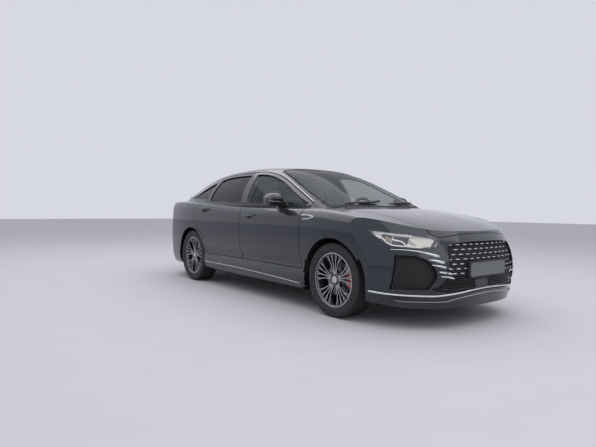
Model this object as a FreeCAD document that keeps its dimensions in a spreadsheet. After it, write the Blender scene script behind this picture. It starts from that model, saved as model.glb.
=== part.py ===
"""Sedan car, built as an assembly of its real pieces.

Frame: +X forward, +Y to the car's left, +Z up. The origin is on the floor, midway between nose and tail.
The body skin is made of four smooth surfaces: the lower body, the cabin above it, the nose and the tail.
Each surface is drawn by a net of control points worked out from the driving sizes.
Panels are the wall between an outer skin and an inner skin, parted where the real panels meet.
"""
import FreeCAD, Part
import math
import os
from FreeCAD import Vector, Placement, Rotation

doc = FreeCAD.newDocument("sedan_car")

# Driving sizes, in millimetres and degrees

SIZES = {
    "overall_length": 4785,
    "overall_width": 1860,
    "roof_height": 1456,
    "wheelbase": 2770,
    "front_overhang": 954,
    "hood_rear_height": 985,
    "deck_height": 1085,
    "belt_height": 1000,
    "sill_height": 170,
    "door_bottom": 392,
    "roof_half_width": 614,
    "tyre_radius": 330,
    "tyre_width": 225,
    "rim_radius": 228,
    "rim_width": 200,
    "track": 1585,
    "arch_radius": 372,
    "spoke_groups": 5,
    "spokes_per_group": 4,
    "spoke_pitch": 15,
    "disc_radius": 155,
    "disc_thickness": 24,
    "hub_pin_radius": 30,
    "steering_room": 28,
    "door_thickness": 75,
    "cabin_wall": 40,
    "pillar_setback": 28,
    "pillar_thickness": 45,
    "hood_thickness": 30,
    "lid_thickness": 40,
    "fender_thickness": 14,
    "bumper_thickness": 60,
    "glass_thickness": 5,
    "glass_setback": 10,
    "window_frame": 26,
    "panel_gap": 6,
    "seat_clearance": 0.3,
    "front_door_edge": 985,
    "middle_door_edge": -120,
    "middle_pillar_lean": 90,
    "door_slope": 0.3,
    "hood_slope": 0.28,
    "hinge_pin_radius": 9,
    "hinge_depth": 30,
    "front_hinge_setback": 60,
    "rear_hinge_setback": 45,
    "hinge_plate": 24,
    "tow_bore_radius": 8,
    "jack_pad_length": 80,
    "jack_pad_width": 50,
    "jack_pad_drop": 28,
    "cover_pin_radius": 5,
    "cover_pin_depth": 12,
    "cover_setback": 34,
    "lid_hinge_setback": 64,
    "lower_hinge_height": 570,
    "upper_hinge_height": 785,
    "steering_wheel_radius": 185,
    "steering_rim_radius": 15,
    "steering_tilt": 25,
    "seat_width": 520,
    "cushion_top": 520,
    "seat_back_top": 1060,
    "floor_thickness": 20,
    "floor_level": 195,
    "trunk_floor_level": 400,
    "rocker_depth": 165,
    "engine_length": 480,
    "engine_width": 640,
    "engine_height": 420,
    "exhaust_radius": 28,
    "kingpin_offset": 40,
    "kingpin_radius": 11,
    "arm_thickness": 26,
    "arm_spread": 110,
}

sheet = doc.addObject("Spreadsheet::Sheet", "sizes")
for row, (alias, value) in enumerate(SIZES.items(), 1):
    sheet.set(f"A{row}", alias)
    sheet.set(f"B{row}", str(value))
    sheet.setAlias(f"B{row}", alias)
doc.recompute()


def size(alias):
    """A driving size, read from the sheet."""
    return float(sheet.get(alias))


half_length = size("overall_length") / 2
half_width = size("overall_width") / 2
front_axle = half_length - size("front_overhang")
rear_axle = front_axle - size("wheelbase")
wheel_height = size("tyre_radius")
wheel_plane = size("track") / 2
belt = size("belt_height")
gap = size("panel_gap")
fit = size("seat_clearance")

made = []


def piece(name, shape):
    """A sub-part whose shape is worked out here, as an object of the document."""
    part = doc.addObject("Part::Feature", name)
    part.Label = name
    part.Shape = shape
    made.append(part)
    return part


# Small helpers for solids

def box(x0, x1, y0, y1, z0, z1):
    """A block between two opposite corners."""
    return Part.makeBox(x1 - x0, y1 - y0, z1 - z0, Vector(x0, y0, z0))


def rod(start, end, radius):
    """A round bar from one point to another."""
    a, b = Vector(*start), Vector(*end)
    return Part.makeCylinder(radius, (b - a).Length, a, b - a)


def mirrored(shape):
    """The same piece on the car's other side."""
    return shape.mirror(Vector(0, 0, 0), Vector(0, 1, 0))


def both(shape):
    """A left piece and its mirror image, as solids that don't touch."""
    return Part.makeCompound(solids_of(shape) + solids_of(mirrored(shape)))


def solids_of(shape):
    return list(shape.Solids)


def biggest(shape):
    """The largest solid of a cut, without the slivers that a cut can leave."""
    return max(shape.Solids, key=lambda s: s.Volume)


def fused(*shapes):
    """Several touching solids joined into one."""
    whole = shapes[0].fuse(list(shapes[1:]))
    return whole.removeSplitter()


class Outline:
    """A closed outline in a plane: runs of points, each run a straight edge or a smooth curve."""

    def __init__(self, *runs):
        self.runs = runs

    def loop(self):
        return [p for run in self.runs for p in run[:-1]]

    def grown(self, distance):
        """The same outline with every point moved outwards."""
        points = self.loop()
        count = len(points)
        area = sum(
            points[i][0] * points[(i + 1) % count][1] - points[(i + 1) % count][0] * points[i][1]
            for i in range(count)
        )
        side = 1 if area > 0 else -1
        moved = []
        for i, (u, v) in enumerate(points):
            before, after = points[i - 1], points[(i + 1) % count]
            a = Vector(u - before[0], v - before[1], 0).normalize()
            b = Vector(after[0] - u, after[1] - v, 0).normalize()
            normal_a = Vector(a.y, -a.x, 0) * side
            normal_b = Vector(b.y, -b.x, 0) * side
            middle = (normal_a + normal_b).normalize()
            reach = distance / max(0.35, middle.dot(normal_a))
            moved.append((u + middle.x * reach, v + middle.y * reach))
        runs = []
        at = 0
        for run in self.runs:
            step = len(run) - 1
            runs.append([moved[(at + k) % count] for k in range(step + 1)])
            at += step
        return Outline(*runs)

    def wire(self, place):
        edges = []
        for run in self.runs:
            points = [place(u, v) for u, v in run]
            if len(points) == 2:
                edges.append(Part.LineSegment(*points).toShape())
            else:
                curve = Part.BSplineCurve()
                curve.interpolate(points)
                edges.append(curve.toShape())
        return Part.Wire(edges)

    def face(self, place):
        return Part.Face(self.wire(place))


def cut_sideways(outline, y0, y1):
    """A prism across the car, from an outline drawn in side view as (x, z)."""
    return outline.face(lambda x, z: Vector(x, y0, z)).extrude(Vector(0, y1 - y0, 0))


def cut_downwards(outline, z0, z1):
    """A prism up and down, from an outline drawn from above as (x, y)."""
    return outline.face(lambda x, y: Vector(x, y, z0)).extrude(Vector(0, 0, z1 - z0))


def cut_forwards(outline, x0, x1):
    """A prism along the car, from an outline drawn from the front as (y, z)."""
    return outline.face(lambda y, z: Vector(x0, y, z)).extrude(Vector(x1 - x0, 0, 0))


# Body skin: control nets. A smooth surface runs inside its control points, by these amounts at its ends and roof.

NOSE_LOSS = 17.6
TAIL_LOSS = 4.9
CROWN_LOSS = 8.4

def lower_stations(inset, lid):
    """Stations of the lower body: x, half width, shoulder height, centre height, crown, depth of the tuck above the sill."""
    hood, deck = size("hood_rear_height") - lid, size("deck_height") - lid
    w = half_width - inset
    return [
        (-half_length - 80, w - 150, deck - 195, deck - 40, 40, 0),
        (-half_length + 150, w - 75, deck - 155, deck - 23, 40, 0),
        (-half_length + 420, w - 30, deck - 145, deck, 40, 0),
        (rear_axle - 330, w - 5, deck - 147, deck - 10, 25, 0),
        (rear_axle, w + 3, deck - 155, deck - 25, 20, 0),
        (rear_axle + 400, w - 8, belt - 85 - lid, belt + 35 - lid, 12, 0.35),
        (rear_axle + 900, w - 18, belt - 100 - lid, belt + 15 - lid, 10, 1),
        (0, w - 18, belt - 110 - lid, belt - lid, 10, 1),
        (450, w - 16, belt - 120 - lid, belt - 10 - lid, 10, 1),
        (front_axle - 480, w - 10, hood - 115, hood, 15, 0.8),
        (front_axle - 200, w, hood - 130, hood, 25, 0),
        (front_axle + 60, w + 5, hood - 150, hood - 30, 30, 0),
        (front_axle + 330, w - 10, hood - 185, hood - 70, 32, 0),
        (front_axle + 580, w - 60, hood - 225, hood - 120, 34, 0),
        (front_axle + 800, w - 140, hood - 280, hood - 185, 34, 0),
        (half_length + 100, w - 240, hood - 345, hood - 285, 30, 0),
    ]


def lower_profile(w, shoulder, centre, crown, tuck, bottom):
    """Half of one cross-section: the sill, the tuck above it, the flank, the shoulder and over to the centre line."""
    sill = size("sill_height")
    flank = sill + 350
    rise = shoulder - flank
    slope = centre - shoulder
    return [
        (w - 150, bottom),
        (w - 60, bottom + 5),
        (w - 14, sill + 80),
        (w - 6 + 10 * tuck, sill + 145),
        (w - 8 - 16 * tuck, sill + 195),
        (w - 8 - 46 * tuck, sill + 250),
        (w - 8 - 10 * tuck, sill + 320),
        (w - 5 + tuck, flank),
        (w - 1, flank + rise * 0.30),
        (w + 1, flank + rise * 0.65),
        (w - 1, flank + rise * 0.92),
        (w - 3, shoulder + 8),
        (w - 25, shoulder + slope * 0.40),
        (w - 60, shoulder + slope * 0.80),
        (w - 190, centre - crown),
        (w * 0.45, centre),
        (0, centre),
    ]


def cabin_stations(inset):
    """Stations of the cabin: x, half width at the belt, belt height, half width at the rail, rail height, centre height."""
    roof = size("roof_height") - CROWN_LOSS - inset
    rail = size("roof_half_width") - inset
    deck = size("deck_height") - inset
    cowl = size("hood_rear_height") - inset
    b = half_width - inset
    waist = belt - inset * 0.3
    return [
        (rear_axle - 930 + inset, b - 330, deck - 190, rail - 60, deck - 130, deck - 112),
        (rear_axle - 800 + inset, b - 270, deck - 60, rail - 35, deck - 5, deck + 12),
        (rear_axle - 520, b - 200, waist + 60, rail + 4, deck + 82, deck + 105),
        (rear_axle - 170, b - 136, waist + 60, rail + 6, roof - 172, roof - 132),
        (rear_axle + 231, b - 92, waist + 50, rail, roof - 72, roof - 32),
        (rear_axle + 681, b - 72, waist + 30, rail, roof - 45, roof + 4),
        (-200, b - 64, waist + 12, rail + 3, roof - 38, roof + 13),
        (150, b - 66, waist, rail + 8, roof - 75, roof - 10),
        (480, b - 78, waist - 10, rail + 54, roof - 195, roof - 122),
        (800, b - 100, waist - 20, rail + 121, roof - 345, roof - 268),
        (1080, b - 130, cowl - 55, rail + 158, cowl - 30, cowl + 77),
        (1380 - inset, b - 190, cowl - 145, rail + 118, cowl - 120, cowl - 70),
    ]


def cabin_profile(b, zb, r, zr, centre, base):
    return [
        (b, base),
        (b, zb),
        (b - (b - r) * 0.40, zb + (zr - zb) * 0.52),
        (r + 8, zr - 25),
        (r - 40, zr + (centre - zr) * 0.35),
        (r * 0.5, centre),
        (0, centre),
    ]


NOSE_PLAN = [(0, 0), (220, 0), (450, 40), (640, 150), (800, 350), (1010, 760)]
NOSE_SIDE = [(100, 70), (200, 45), (300, 15), (450, 0), (600, 18), (750, 95), (900, 230), (1150, 420)]
TAIL_PLAN = [(0, 0), (220, 0), (450, 25), (650, 95), (800, 230), (1010, 560)]
TAIL_SIDE = [(100, 150), (250, 70), (400, 12), (600, 0), (800, 18), (950, 45), (1050, 55), (1200, 80)]


def mirrored_rows(rows):
    """Adds the mirrored half to each row of a half net."""
    return [row + [Vector(p.x, -p.y, p.z) for p in reversed(row[:-1])] for row in rows]


def smooth_face(net):
    """A smooth face drawn by a net of control points."""
    def knots(count):
        spans = count - 3
        return [i / spans for i in range(spans + 1)], [4] + [1] * (spans - 1) + [4]
    u_knots, u_times = knots(len(net))
    v_knots, v_times = knots(len(net[0]))
    surface = Part.BSplineSurface()
    surface.buildFromPolesMultsKnots(net, u_times, v_times, u_knots, v_knots, False, False, 3, 3)
    return surface.toShape()


def closed_solid(face):
    """Closes an arched face with a floor and two end walls."""
    ends = [e for e in face.Edges if e.BoundBox.XLength < 1]
    sides = [e for e in face.Edges if e.BoundBox.XLength > 1]
    walls = []
    for end in ends:
        chord = Part.LineSegment(end.Vertexes[0].Point, end.Vertexes[-1].Point).toShape()
        walls.append(Part.Face(Part.Wire([end, chord])))
    chords = []
    for pick in (min, max):
        corners = [pick((v.Point for v in e.Vertexes), key=lambda p: p.x) for e in sides]
        chords.append(Part.LineSegment(*corners).toShape())
    floor = Part.Face(Part.Wire(Part.__sortEdges__(sides + chords)))
    shell = Part.makeShell([face, floor] + walls)
    shell.sewShape()
    solid = Part.makeSolid(shell)
    return solid if solid.Volume > 0 else solid.reversed()


def lower_solid(inset, lid, bottom):
    """The lower body, drawn in by these amounts at its sides and its top."""
    rows = []
    for x, w, shoulder, centre, crown, tuck in lower_stations(inset, lid):
        rows.append([Vector(x, y, z) for y, z in lower_profile(w, shoulder, centre, crown, tuck, bottom)])
    return closed_solid(smooth_face(mirrored_rows(rows)))


def cabin_solid(inset):
    """The cabin above the belt, drawn in by this amount."""
    base = belt - 180
    rows = []
    for x, b, zb, r, zr, centre in cabin_stations(inset):
        rows.append([Vector(x, y, z) for y, z in cabin_profile(b, zb, r, zr, centre, base)])
    return closed_solid(smooth_face(mirrored_rows(rows)))


def end_block(plan, side, tip, forward, inset):
    """Everything behind the nose surface, or ahead of the tail surface."""
    rows = []
    for z, back in side:
        half = [Vector(tip - forward * (deep + back + inset), y, z) for y, deep in plan]
        rows.append([Vector(p.x, -p.y, p.z) for p in reversed(half[1:])] + half)
    return smooth_face(rows).extrude(Vector(-forward * size("overall_length"), 0, 0))


def trimmed(lower, ends):
    """The lower body cut to the nose and the tail."""
    lower = lower.common(end_block(NOSE_PLAN, NOSE_SIDE, half_length + NOSE_LOSS, 1, ends))
    return lower.common(end_block(TAIL_PLAN, TAIL_SIDE, -half_length - TAIL_LOSS, -1, ends))


sill = size("sill_height")
door_wall = size("door_thickness")
cabin_wall = size("cabin_wall")
hood_wall = size("hood_thickness")
lid_wall = size("lid_thickness")
bumper_wall = size("bumper_thickness")
fender_wall = size("fender_thickness")
under = sill - 100

lower_skin = trimmed(lower_solid(0, 0, sill), 0)
cabin_skin = cabin_solid(0)
body_inside = trimmed(lower_solid(door_wall, hood_wall, under), bumper_wall).fuse(cabin_solid(cabin_wall))
body_wall = lower_skin.fuse(cabin_skin).cut(body_inside)
fender_shell = lower_skin.cut(trimmed(lower_solid(fender_wall, hood_wall, under), bumper_wall))

# Wheel openings

far = size("overall_width")
arch = size("arch_radius")
steer_arch = arch + size("steering_room")
arch_lip = half_width - 20


def wheel_openings():
    """The room round each wheel: wider inside the front wheelhouses, where the wheels steer."""
    room = []
    for side in (1, -1):
        rear_start = wheel_plane - size("tyre_width") / 2 - 30
        room.append(rod((rear_axle, side * rear_start, wheel_height), (rear_axle, side * far, wheel_height), arch))
        room.append(rod((front_axle, side * 480, wheel_height), (front_axle, side * arch_lip, wheel_height), steer_arch))
        room.append(rod((front_axle, side * 480, wheel_height), (front_axle, side * far, wheel_height), arch))
    return room


# Outlines of the panels. Side views are (x, z) and plans are (x, y).

roof = size("roof_height")
front_edge = size("front_door_edge")
middle_edge = size("middle_door_edge")
door_bottom = size("door_bottom")
frame = size("window_frame")
rear_edge_top = rear_axle + 328
rear_edge_belt = rear_axle + 275


flank_top = belt - 120
door_top = roof - 86


def middle_line(z):
    """Where the front and rear doors meet: upright on the flank, leaning back above it."""
    return middle_edge - size("middle_pillar_lean") * max(0, z - flank_top) / (door_top - flank_top)


def roof_edge(drop):
    """The line along the top of the doors, lowered by this much."""
    return [
        (front_edge, belt - 12 - drop * 0.4),
        (front_edge - 185, belt + 82 - drop),
        (front_edge - 395, roof - 276 - drop),
        (front_edge - 635, roof - 172 - drop),
        (front_edge - 851, roof - 110 - drop),
        (middle_line(door_top - drop), door_top - drop),
        (middle_edge - 380, door_top - drop),
        (rear_edge_top + 103, roof - 116 - drop),
        (rear_edge_top, roof - 140 - drop),
    ]


def rear_door_back():
    """The rear door's back edge: down to the belt, out round the shoulder and along the wheel arch."""
    reach = arch + 48
    curve = [
        (rear_edge_belt, belt + 62),
        (rear_axle + 145, belt - 30),
        (rear_axle + 84, belt - 125),
        (rear_axle + 106, belt - 225),
    ]
    for degrees in (58, 42, 26, 10):
        angle = math.radians(degrees)
        curve.append((rear_axle + reach * math.cos(angle), wheel_height + reach * math.sin(angle)))
    return curve


def front_door_outline():
    top = roof_edge(0)[:6]
    return Outline(
        [(front_edge, door_bottom), (front_edge, flank_top)],
        [(front_edge, flank_top), top[0]],
        top,
        [top[-1], (middle_edge, flank_top)],
        [(middle_edge, flank_top), (middle_edge, door_bottom)],
        [(middle_edge, door_bottom), (front_edge, door_bottom)],
    )


def rear_door_outline():
    top = roof_edge(0)[5:]
    start = (top[0][0] - gap, top[0][1])
    back = rear_door_back()
    return Outline(
        [(middle_edge - gap, door_bottom), (middle_edge - gap, flank_top)],
        [(middle_edge - gap, flank_top), start],
        [start] + top[1:],
        [top[-1], back[0]],
        back,
        [back[-1], (back[-1][0], door_bottom)],
        [(back[-1][0], door_bottom), (middle_edge - gap, door_bottom)],
    )


def skin_side(z):
    """How far out the door skin lies at this height, for slanted cuts."""
    return half_width - 10 - 270 * max(0, z - flank_top) / (door_top - flank_top)


def cut_door(outline):
    """A prism whose walls slant backwards on their way out, so that a door swings clear."""
    slope = size("door_slope")
    face = outline.face(lambda x, z: Vector(x + slope * skin_side(z), 0, z))
    return face.extrude(Vector(-slope * 1400, 1400, 0))


def front_window_outline():
    top = roof_edge(frame)[:6]
    top = [(front_edge - 75, belt + 8)] + top[1:5] + [(top[5][0] + 50, top[5][1])]
    sill_line = [(middle_line(belt + 12) + 50, belt + 12), (front_edge - 485, belt - 8), (front_edge - 75, belt - 20)]
    return Outline(top, [top[-1], sill_line[0]], sill_line, [sill_line[-1], top[0]])


def rear_window_outline():
    top = roof_edge(frame)[5:]
    top = [(top[0][0] - gap - 45, top[0][1])] + top[1:3] + [(rear_edge_top + 45, top[3][1] + 10)]
    sill_line = [(rear_edge_belt + 48, belt + 56), (middle_edge - 500, belt + 32),
                 (middle_line(belt + 14) - gap - 45, belt + 14)]
    return Outline(top, [top[-1], sill_line[0]], sill_line, [sill_line[-1], top[0]])


def quarter_window_outline():
    top = [
        (rear_edge_top - 32, roof - 176),
        (rear_axle + 60, roof - 246),
        (rear_axle - 180, roof - 330),
        (rear_axle - 360, belt + 90),
    ]
    low = [(rear_axle - 360, belt + 90), (rear_axle - 60, belt + 80), (rear_edge_belt - 32, belt + 68)]
    return Outline(top, low, [low[-1], top[0]])


WINDSHIELD_SIDE = [(205, 692), (-135, 672), (-455, 612), (-745, 552)]


def windshield_outline():
    """The windshield from above. Its base reaches the cowl and its top the roof."""
    base = front_edge - 50
    side = [(base + dx, y) for dx, y in WINDSHIELD_SIDE]
    top = [(base - 745, 552), (base - 785, 330), (base - 810, 0), (base - 785, -330), (base - 745, -552)]
    other = [(x, -y) for x, y in reversed(side)]
    foot = [(base + 205, -692), (base + 262, -600), (base + 300, -500), (base + 330, -300), (base + 345, 0)]
    foot += [(x, -y) for x, y in reversed(foot[:-1])]
    return Outline(side, top, other, foot)


def rear_window_frame():
    """The rear window from above."""
    foot_x = lid_front + 28 + gap + 3
    side = [(rear_axle + 180, 538), (rear_axle - 170, 560), (foot_x, 596)]
    top = [(rear_axle + 180, -538), (rear_axle + 160, -300), (rear_axle + 150, 0), (rear_axle + 160, 300), side[0]]
    other = [(x, -y) for x, y in reversed(side)]
    foot = [side[-1], (foot_x - 20, 300), (foot_x - 28, 0), (foot_x - 20, -300), other[0]]
    return Outline(side, foot, other, top)


def roof_outline():
    edge = size("roof_half_width") - 56
    front, back = front_edge - 700, rear_axle + 20
    corners = [(front, -edge), (front, edge), (back, edge), (back, -edge)]
    return Outline(*[[corners[i], corners[(i + 1) % 4]] for i in range(4)])


def hood_outline():
    """The hood from above: along the tops of the fenders, round the lamps and across the nose."""
    side = [
        (front_edge + 180, 700),
        (front_axle - 38, 640),
        (front_axle + 287, 565),
        (front_axle + 559, 556),
        (half_length - 219, 543),
    ]
    nose = [
        (half_length - 219, 543),
        (half_length - 152, 484),
        (half_length - 130, 409),
        (half_length - 114, 220),
        (half_length - 110, 0),
        (half_length - 114, -220),
        (half_length - 130, -409),
        (half_length - 152, -484),
        (half_length - 219, -543),
    ]
    back = [(front_edge + 180, -700), (front_edge + 230, -600), (front_edge + 265, -500), (front_edge + 292, -300),
            (front_edge + 311, 0)]
    back += [(x, -y) for x, y in reversed(back[:-1])]
    other = [(x, -y) for x, y in reversed(side)]
    return Outline(side, nose, other, back)


def cut_hood(outline, low, high):
    """A prism whose front wall leans forwards on its way up, so that the hood lifts clear of the nose."""
    slope = size("hood_slope")
    level = size("hood_rear_height") - 256

    def place(x, y, z):
        share = min(1.0, max(0.0, (x - front_axle) / (half_length - 118 - front_axle)))
        return Vector(x + share * slope * (z - level), y, z)

    wires = [outline.wire(lambda x, y: place(x, y, z)) for z in (low, high)]
    return Part.makeLoft(wires, True, True)


lid_front = rear_axle - 569
lid_half = 600
lid_bottom = belt - 260


def skin_height(x, y):
    """How high the outer skin lies above this place."""
    line = Part.makeLine(Vector(x, y, belt - 300), Vector(x, y, roof + 100))
    return max(skin.common(line).BoundBox.ZMax for skin in (lower_skin, cabin_skin)
               if skin.common(line).Edges)


cover_pin = size("cover_pin_radius")
cover_depth = size("cover_pin_depth")
hood_setback = size("cover_setback")
lid_setback = size("lid_hinge_setback")
hood_axis_x = front_edge + 180 + hood_setback
hood_axis_z = skin_height(hood_axis_x, 690) - cover_depth
lid_axis_x = lid_front + 28 - lid_setback
lid_axis_z = skin_height(lid_axis_x, lid_half - 20) - cover_depth
lid_swing_radius = math.hypot(lid_setback, lid_wall - cover_depth) + gap


def lid_outline():
    front = [(lid_front + 28, -lid_half), (lid_front + 8, -300), (lid_front, 0), (lid_front + 8, 300),
             (lid_front + 28, lid_half)]
    back = -half_length - 100
    return Outline(front, [front[-1], (back, lid_half)], [(back, lid_half), (back, -lid_half)],
                   [(back, -lid_half), front[0]])


def front_bumper_outline():
    """The front bumper from the side: from the lamp's rear tip down to the wheel opening."""
    tip = (half_length - 530, size("hood_rear_height") - 226)
    meet = (front_axle + 290, wheel_height + 232)
    far_front = half_length + 200
    top = size("hood_rear_height") - 100
    behind_lamp = (half_length - 157, size("hood_rear_height") - 285)
    corners = [tip, meet, (meet[0] - 150, under), (far_front, under), (far_front, top), (behind_lamp[0], top),
               behind_lamp]
    return Outline(*[[corners[i], corners[(i + 1) % 7]] for i in range(7)])


def lamp_outline():
    """The headlamp from the side."""
    top_height = size("hood_rear_height")
    tip = (half_length - 574, top_height - 202)
    nose = (half_length - 125, top_height - 300)
    top = [tip, (half_length - 480, top_height - 207), (half_length - 300, top_height - 222),
           (half_length - 163, top_height - 248), nose]
    low = [nose, (half_length - 125, top_height - 330), (half_length - 205, top_height - 341),
           (half_length - 291, top_height - 336), (half_length - 384, top_height - 326)]
    return Outline(top, [nose, low[1]], low[1:], [low[-1], (half_length - 489, top_height - 264), tip])


def grille_outline():
    """The grille from the front, as (y, z)."""
    upper = [(-446, 676), (-300, 692), (0, 697), (300, 692), (446, 676)]
    right = [(446, 676), (470, 570), (496, 420), (542, 360), (598, 329)]
    lower = [(598, 329), (410, 294), (0, 300), (-410, 294), (-598, 329)]
    left = [(-y, z) for y, z in reversed(right)]
    return Outline(upper, right, lower, left)


def rear_bumper_outline():
    """The rear bumper from the side: from the wheel opening back under the tail lamp."""
    meet = (rear_axle - 290, wheel_height + 232)
    lamp = (-half_length + 250, belt - 205)
    back = -half_length - 200
    corners = [meet, lamp, (back, belt - 205), (back, under), (meet[0] + 150, under)]
    return Outline(*[[corners[i], corners[(i + 1) % 5]] for i in range(5)])


def tail_lamp_outline():
    front, back = -half_length + 330, -half_length - 200
    low, high = belt - 205, belt - 75
    corners = [(front, high - 15), (-half_length + 250, low), (back, low), (back, high)]
    return Outline(*[[corners[i], corners[(i + 1) % 4]] for i in range(4)])


# The room each opening piece needs

corner_low, corner_high = belt - 50, belt - 8
corner_reach, corner_inner = 40, half_width - 155


def door_opening(outline, edge, setback):
    """A door's room in the body: its outline and its swinging front edge, each with the panel gap."""
    axis_x, axis_y = edge - setback, half_width - 14 - size("hinge_depth")
    swing = math.hypot(setback, size("hinge_depth")) + gap
    room = cut_door(outline.grown(gap))
    room = room.fuse(rod((axis_x, axis_y, door_bottom - gap), (axis_x, axis_y, belt - 20), swing))
    if edge != front_edge:
        return room
    low = corner_low - gap
    room = room.cut([
        box(edge + gap, edge + 300, 0, far, low, roof),
        box(edge - corner_reach + gap, edge + 300, 0, corner_inner - gap, low, corner_high - gap),
    ])
    sweep = math.hypot(setback, axis_y - corner_inner) + gap
    swept = rod((axis_x, axis_y, low), (axis_x, axis_y, corner_high + gap), sweep)
    return room.fuse(swept.common(box(axis_x - 300, edge + gap, 0, far, 0, roof)))


windshield_prism = cut_downwards(windshield_outline(), 700, roof + 100)
windshield_room = cut_downwards(windshield_outline().grown(fit), 700, roof + 100)
rear_window_prism = cut_downwards(rear_window_frame(), 900, roof + 100)
rear_window_room = cut_downwards(rear_window_frame().grown(fit), 900, roof + 100)
hood_prism = cut_hood(hood_outline(), 500, roof)
hood_swing_radius = math.hypot(hood_setback, hood_wall - cover_depth) + gap
hood_swing = both(rod((hood_axis_x, 560, hood_axis_z), (hood_axis_x, 704, hood_axis_z), hood_swing_radius))
hood_room = cut_hood(hood_outline().grown(gap), 500, roof).fuse(hood_swing)
lid_prism = cut_downwards(lid_outline(), lid_bottom, roof)
lid_swing = rod((lid_axis_x, -lid_half - gap, lid_axis_z), (lid_axis_x, lid_half + gap, lid_axis_z), lid_swing_radius)
lid_room = cut_downwards(lid_outline().grown(gap), lid_bottom - gap, roof).fuse(lid_swing)
roof_prism = cut_downwards(roof_outline(), belt, roof + 100)
roof_room = cut_downwards(roof_outline().grown(fit), belt, roof + 100)
front_bumper_prism = cut_sideways(front_bumper_outline(), -far, far)
front_bumper_room = cut_sideways(front_bumper_outline().grown(fit), -far, far)
rear_bumper_prism = cut_sideways(rear_bumper_outline(), -far, far)
rear_bumper_room = cut_sideways(rear_bumper_outline().grown(fit), -far, far)
lamp_prism = cut_sideways(lamp_outline(), 440, far)
lamp_room = cut_sideways(lamp_outline().grown(fit), 440 - fit, far)
grille_prism = cut_forwards(grille_outline(), half_length - 400, half_length + 100)
grille_room = cut_forwards(grille_outline().grown(fit), half_length - 400, half_length + 100)
tail_lamp_prism = cut_sideways(tail_lamp_outline(), lid_half + gap, far)
tail_lamp_room = cut_sideways(tail_lamp_outline().grown(fit), lid_half + gap, far)
front_door_room = door_opening(front_door_outline(), front_edge, size("front_hinge_setback"))
rear_door_room = door_opening(rear_door_outline(), middle_edge - gap, size("rear_hinge_setback"))
openings = wheel_openings()
left_openings = [o for o in openings if o.BoundBox.YMax > 0]


cowl_side = [(front_edge + 15, 692), (front_edge + 180, 698)]
cowl_front = [(front_edge + 180, 698), (front_edge + 270, 500), (front_edge + 316, 0), (front_edge + 270, -500),
              (front_edge + 180, -698)]
cowl_outline = Outline(cowl_side, cowl_front, [cowl_front[-1], (front_edge + 15, -692)],
                       [(front_edge + 15, -692), (front_edge + 15, 692)])
cowl_prism = cut_downwards(cowl_outline, belt - 300, roof)
cowl_room = cut_downwards(cowl_outline.grown(fit), belt - 300, roof)

# Body panels


def side_frame():
    """The left side: pillars, roof rail, rocker and quarter panel as one pressing."""
    behind = box(-half_length - 200, front_edge + gap, 0, far, sill - 50, roof + 200)
    outer = body_wall.common(behind)
    pillar_foot = cabin_skin.cut(cabin_solid(cabin_wall)).common(
        box(front_edge + gap, half_length, 0, far, belt - 150, roof))
    pillar_foot = pillar_foot.cut([lower_solid(-fit, -fit, under), hood_room])
    rocker = lower_skin.common(
        box(rear_axle, front_edge + gap, half_width - size("rocker_depth"), far, sill, door_bottom - gap))
    depth = size("pillar_setback")
    deep = depth + size("pillar_thickness")
    shell = lower_solid(door_wall + depth, 0, under).fuse(cabin_solid(cabin_wall + depth))
    core = lower_solid(door_wall + deep, 0, under).fuse(cabin_solid(cabin_wall + deep))
    middle_top = middle_line(roof)
    corners = [(middle_edge - 78, door_bottom - gap - 40), (middle_edge + 55, door_bottom - gap - 40),
               (middle_edge + 55, flank_top), (middle_top + 55, roof), (middle_top - 78, roof),
               (middle_edge - 78, flank_top)]
    post = cut_sideways(Outline(*[[corners[i], corners[(i + 1) % 6]] for i in range(6)]), 0, far)
    pillar = shell.cut(core).common(post)
    cap = body_inside.cut(core).common(
        box(middle_top - 78, middle_top + 58, 0, far, door_top + gap, roof)).cut(roof_room)
    post_start, post_end, post_inner, post_outer = front_edge + 18, front_edge + 45, half_width - 150, half_width - 100
    hinge_post = box(post_start, post_end, post_inner, post_outer, sill + 40, belt - 95)
    toe = box(front_edge - 15, post_end, post_inner, post_outer, sill + 40, door_bottom - gap - 6)
    whole = fused(outer, pillar_foot, rocker)
    deck = box(-half_length, lid_front + 60, 0, lid_half + gap, belt - 300, roof)
    rooms = [windshield_room, rear_window_room, roof_room, lid_room, deck, rear_bumper_room, tail_lamp_room,
             front_door_room, rear_door_room] + left_openings
    return fused(biggest(whole.cut(rooms)), pillar, cap, hinge_post, toe)


def with_twin(left_name, right_name, shape):
    """A left panel and its mirror image on the right."""
    whole = biggest(shape)
    piece(left_name, whole)
    piece(right_name, mirrored(whole))


quarter_prism = cut_sideways(quarter_window_outline(), 300, far)
quarter_room = cut_sideways(quarter_window_outline().grown(fit), 300, far)
lid_pin = rod((lid_axis_x, lid_half - 45, lid_axis_z), (lid_axis_x, lid_half + 40, lid_axis_z), cover_pin)
left_side = biggest(biggest(side_frame().cut(quarter_room)).fuse(lid_pin))
with_twin("side_frame_left", "side_frame_right", left_side)

piece("roof_panel", biggest(body_wall.common(roof_prism).cut([windshield_room, rear_window_room])))


def front_fender():
    """The left front fender, from the door to the bumper and up to the hood."""
    ahead = box(front_edge + gap + fit, half_length, 0, far, sill, roof)
    panel = fender_shell.common(ahead)
    rooms = [hood_room, front_bumper_room, lamp_room, front_door_room, windshield_room, cowl_room] + left_openings
    return biggest(panel.cut(rooms))


def cover_pins(axis_x, axis_z, inner, outer):
    """The two pins that a hood or a lid turns on, held at its sides."""
    return rod((axis_x, inner, axis_z), (axis_x, outer, axis_z), cover_pin)


hood_pin = cover_pins(hood_axis_x, hood_axis_z, 660, 725)
fender = biggest(front_fender().fuse(hood_pin))
piece("front_fenders", both(fender))


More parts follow.
